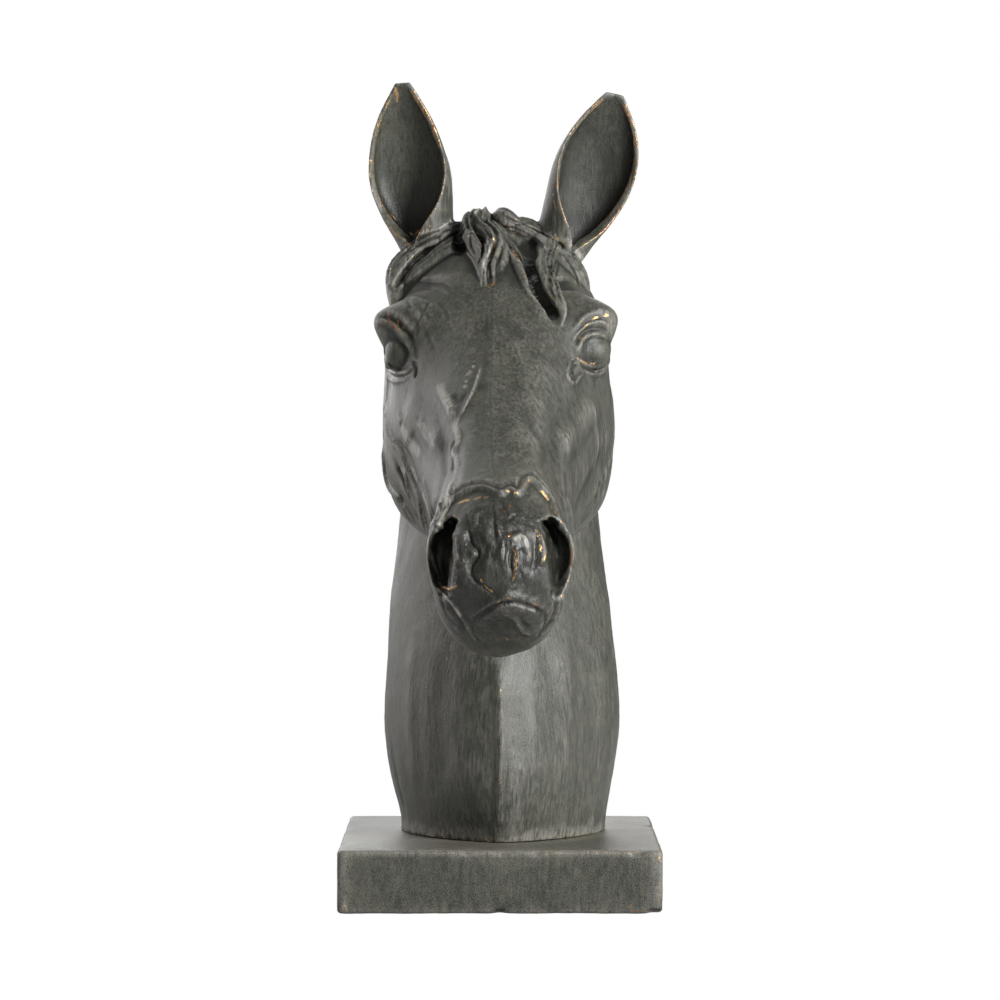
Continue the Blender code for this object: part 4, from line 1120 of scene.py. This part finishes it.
def stroke(points, way, push, reach):
    """Height of one stroke at each point: push times (1 - (gap / 2 reach)^2)^3 within twice its
    reach, dying away over the last sixth of its way at either end."""
    raised = np.zeros(len(points))
    near = ((points > way.min(0) - 2 * reach) & (points < way.max(0) + 2 * reach)).all(1)
    gap, place, _ = along_way(points[near], way)
    ends = np.clip(np.minimum(place, 1 - place) * 6 + 0.1, 0, 1)
    raised[near] = push * ends * (1 - np.clip(gap / (2 * reach), 0, 1) ** 2) ** 3
    return raised


def step_up(points, way, push, sharp, far):
    """Height of one step at each point: push times half of 1 + tanh(gap / sharp), the gap being
    above 0 on the raised side, and dying away over far on that side and at both ends."""
    raised = np.zeros(len(points))
    near = ((points > way.min(0) - 2 * far) & (points < way.max(0) + 2 * far)).all(1)
    gap, place, side = along_way(points[near], way)
    gap = gap * side
    ends = np.clip(np.minimum(place, 1 - place) * 6, 0, 1)
    rise = 0.5 + 0.5 * np.tanh(gap / sharp)
    raised[near] = push * ends * rise * np.exp(-((np.maximum(gap, 0) / far) ** 2))
    return raised


MUZZLE, MUZZLE_REACH = (0, 352, -45), (42, 46, 50)  # its middle, and half sizes in the figure's frame


def tool_marks(points):
    """Soft unevenness left by hands and tools: lumps of four sizes, those of the neck drawn out
    upright, the finest ones stronger on the muzzle, and none of it on the eyes."""
    broad = lumps(points * (1, 1, 0.45), 26, 11) * 0.7
    middle = lumps(points * (1, 1, 0.6), 11, 12) * 0.35
    fine = lumps(points, 4.5, 13) * 0.12 + lumps(points, 2.4, 14) * 0.07
    muzzle_gap = np.linalg.norm((points - head_point(MUZZLE)) / MUZZLE_REACH, axis=1)
    fine *= 1 + 2.5 * np.clip((1.15 - muzzle_gap) * 3, 0, 1)
    on_eye = np.zeros(len(points))
    for side in (-1, 1):
        gap = np.linalg.norm(points - head_point(np.array(EYE) * (side, 1, 1)), axis=1)
        on_eye = np.maximum(on_eye, gap < EYE_RADIUS + 1.2)
    return (broad + middle + fine) * (1 - on_eye)


def evaluated_mesh(piece):
    """The piece's mesh with its modifiers applied."""
    bpy.context.view_layer.update()
    return bpy.data.meshes.new_from_object(piece.evaluated_get(bpy.context.evaluated_depsgraph_get()))


def skin_tree(mesh):
    """The mesh's faces, ready for rays to be cast at them."""
    faces = [tuple(face.vertices) for face in mesh.polygons]
    return BVHTree.FromPolygons(mesh_points(mesh)[0].tolist(), faces)


def carve(mesh):
    """Moves the skin out by its strokes and tool marks, each point along its normal."""
    points, normals = mesh_points(mesh)
    tree = skin_tree(mesh)
    raised = tool_marks(points)
    for push, reach, way in FRONT_STROKES:
        placed = on_front(tree, way)
        if len(placed) > 1:
            raised += stroke(points, placed, push, reach)
    for push, sharp, far, way in STEPS:
        placed = on_front(tree, way)
        if len(placed) > 1:
            raised += step_up(points, placed, push, sharp, far)
    for push, reach, way in HAIR_CUTS:
        raised += stroke(points, on_skull(head_skin, way), push, reach)
    for push, reach, way in SIDE_STROKES:
        for _, placed in both_sides(way):
            raised += stroke(points, placed, push, reach)
    mesh.vertices.foreach_set("co", (points + normals * raised[:, None]).ravel())
    mesh.update()


form_points, form_faces, first = [], [], 0
for shape_points, shape_faces in figure_forms:
    form_points.append(shape_points)
    form_faces += [[first + corner for corner in face] for face in shape_faces]
    first += len(shape_points)
figure = new_piece("horse_figure", np.concatenate(form_points), form_faces)
joined = figure.modifiers.new("cast", "REMESH")
joined.mode = "VOXEL"
joined.voxel_size = CASTING_CELL
evened = figure.modifiers.new("even", "SMOOTH")
evened.factor = 0.5
evened.iterations = 1
figure.data = evaluated_mesh(figure)
figure.modifiers.clear()
carve(figure.data)
count = sum(len(face.vertices) - 2 for face in figure.data.polygons)
if count > FIGURE_TRIANGLES:
    thin = figure.modifiers.new("thin", "DECIMATE")
    thin.ratio = FIGURE_TRIANGLES / count
    figure.data = evaluated_mesh(figure)
    figure.modifiers.clear()

flat = bmesh.new()
flat.from_mesh(figure.data)
cut = bmesh.ops.bisect_plane(
    flat, geom=[*flat.verts, *flat.edges, *flat.faces], dist=0.01,
    plane_co=(0, 0, 0), plane_no=(0, 0, -1), clear_outer=True,
)
bmesh.ops.holes_fill(flat, edges=[part for part in cut["geom_cut"] if isinstance(part, bmesh.types.BMEdge)])
bmesh.ops.triangulate(flat, faces=[face for face in flat.faces if len(face.verts) > 4])
flat.to_mesh(figure.data)
flat.free()
figure_points, _ = mesh_points(figure.data)
front = skin_tree(figure.data)


def marked(points, tree, marks, full):
    """How strongly each point is marked by the nearest mark: full less its gap in half widths."""
    strength = np.zeros(len(points))
    for half, way in marks:
        placed = on_front(tree, way)
        if len(placed) > 1:
            strength = np.maximum(strength, full - along_way(points, placed)[0] / half)
    return strength


# painted highlight along marked ridges of the face, lids, hair and muzzle
set_mask(figure.data, "painted_highlight", marked(figure_points, front, PAINTED_HIGHLIGHT_MARKS, 1.5))
rubbed_skin = marked(figure_points, front, RUBS, 1.7)
for rim in ear_rims:
    rubbed_skin = np.maximum(rubbed_skin, 0.9 - along_way(figure_points, rim)[0] / 2)
placed = figure_points * MM + (0, 0, FIGURE_LOW[2])
placed = np.clip(placed, FIGURE_LOW, FIGURE_HIGH)
figure.data.vertices.foreach_set("co", placed.ravel())
figure.data.update()
figure.data.shade_smooth()
fine_height = standing_out(figure.data, 6) / MM
broad_height = standing_out(figure.data, 40) / MM
eye_gap = np.full(len(figure_points), np.inf)
for eye_side in (-1, 1):
    eye_middle = head_point(np.array(EYE) * (eye_side, 1, 1))
    eye_gap = np.minimum(eye_gap, np.linalg.norm(figure_points - eye_middle, axis=1) - EYE_RADIUS)
# edge: ridges lightened, partly as worn dry-brushing and partly as a painted highlight, and worn to metal on
# their crests
set_mask(figure.data, "edge", (fine_height - 0.12) / 0.6 * (eye_gap > 1.5))
# hollow: painted shade, darkest in creases and recesses and round the eyes' lids, and less on the ears where
# they are lit, least on the left one
painted_shade = -fine_height / 0.6 - broad_height / 4 + 0.5 * np.exp(-((eye_gap / 4) ** 2))
lit_ear = np.clip((figure_points[:, 2] - 430) / 40, 0, 1) * np.where(figure_points[:, 0] < 0, 0.75, 0.45)
set_mask(figure.data, "hollow", painted_shade * (1 - lit_ear))
set_mask(figure.data, "dust", 0.8 * np.exp(-((figure_points[:, 2] / 3) ** 2)))
muzzle_gap = np.linalg.norm((figure_points - head_point(MUZZLE)) / MUZZLE_REACH, axis=1)
set_mask(figure.data, "glaze", (1.15 - muzzle_gap) * 2.5)
set_mask(figure.data, "rub", rubbed_skin)

figure.data.materials.clear()
figure.data.materials.append(bronze_material("figure_bronze_effect", 1.0, 0.0006, 1.0))
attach(figure, "root")
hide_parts("horse_head")

# The place it is shown in
# A pure white sweep, a large soft light in front to the right, tall narrow ones at the sides, a
# broad panel above and behind, and a long lens level with the middle of the face.

WHITE = (1, 1, 1, 1)
ROOM_LIGHT = 0.2
FLOOR_HALF = 3
LENS, SENSOR = 149.65, 36  # in millimetres
CAMERA_PLACE = (0, -3.03, 0.3457)
LENS_PIXELS = 4157  # the lens's length in pixels of the square picture
LEVEL_ABOVE_MIDDLE = 80  # pixels from the picture's middle up to the camera's own level


def show_to_camera(tree, shown, real, output):
    """The camera sees one shader, and everything else is lit by the other."""
    seen = add_node(tree, "ShaderNodeLightPath").outputs["Is Camera Ray"]
    mixed = add_node(tree, "ShaderNodeMixShader")
    for place, socket in enumerate((seen, real.outputs[0], shown.outputs[0])):
        tree.links.new(socket, mixed.inputs[place])
    tree.links.new(mixed.outputs[0], add_node(tree, output).inputs["Surface"])


floor_corners = [(x * FLOOR_HALF, y * FLOOR_HALF, 0) for x, y in ((-1, -1), (1, -1), (1, 1), (-1, 1))]
floor = new_piece("floor", floor_corners, [(0, 1, 2, 3)])
floor_paint = bpy.data.materials.new("white_sweep")
floor_paint.use_nodes = True
tree = floor_paint.node_tree
tree.nodes.clear()
matt = add_node(tree, "ShaderNodeBsdfDiffuse", values={"Color": (0.45, 0.45, 0.45, 1)})
lit = add_node(tree, "ShaderNodeEmission", values={"Color": WHITE, "Strength": 1.0})
show_to_camera(tree, lit, matt, "ShaderNodeOutputMaterial")
floor.data.materials.append(floor_paint)

world = bpy.data.worlds.new("studio")
bpy.context.scene.world = world
world.use_nodes = True
tree = world.node_tree
tree.nodes.clear()
room = add_node(tree, "ShaderNodeBackground", values={"Color": WHITE, "Strength": ROOM_LIGHT})
backdrop = add_node(tree, "ShaderNodeBackground", values={"Color": WHITE, "Strength": 1.0})
show_to_camera(tree, backdrop, room, "ShaderNodeOutputWorld")


def soft_light(name, place, aim, wide, tall, watts, colour=(1, 1, 1)):
    """A rectangular soft light at a place, turned towards the point it is aimed at."""
    lamp = bpy.data.lights.new(name, "AREA")
    lamp.shape = "RECTANGLE"
    lamp.size, lamp.size_y, lamp.energy, lamp.color = wide, tall, watts, colour
    light = bpy.data.objects.new(name, lamp)
    bpy.context.scene.collection.objects.link(light)
    light.location = place
    light.rotation_euler = (Vector(aim) - Vector(place)).to_track_quat("-Z", "Y").to_euler()


soft_light("key_right", (1.7, -1.7, 1.2), (0, 0, 0.3), 0.8, 1.2, 114)
soft_light("strip_left", (-1.55, 0.6, 0.75), (0, 0, 0.32), 0.3, 1.5, 12, (1.0, 0.96, 0.93))
soft_light("strip_right", (1.9, 0.3, 0.7), (0, 0, 0.3), 0.35, 1.5, 8)
soft_light("panel_behind", (-0.6, 1.6, 1.2), (0, 0, 0.3), 2.2, 2.2, 31)

lens = bpy.data.cameras.new("camera")
lens.sensor_width = SENSOR
lens.lens = LENS
camera = bpy.data.objects.new("camera", lens)
bpy.context.scene.collection.objects.link(camera)
camera.location = CAMERA_PLACE
camera.rotation_euler = (math.pi / 2 - math.atan(LEVEL_ABOVE_MIDDLE / LENS_PIXELS), 0, 0)
bpy.context.scene.camera = camera
bpy.context.scene.view_settings.view_transform = "Standard"
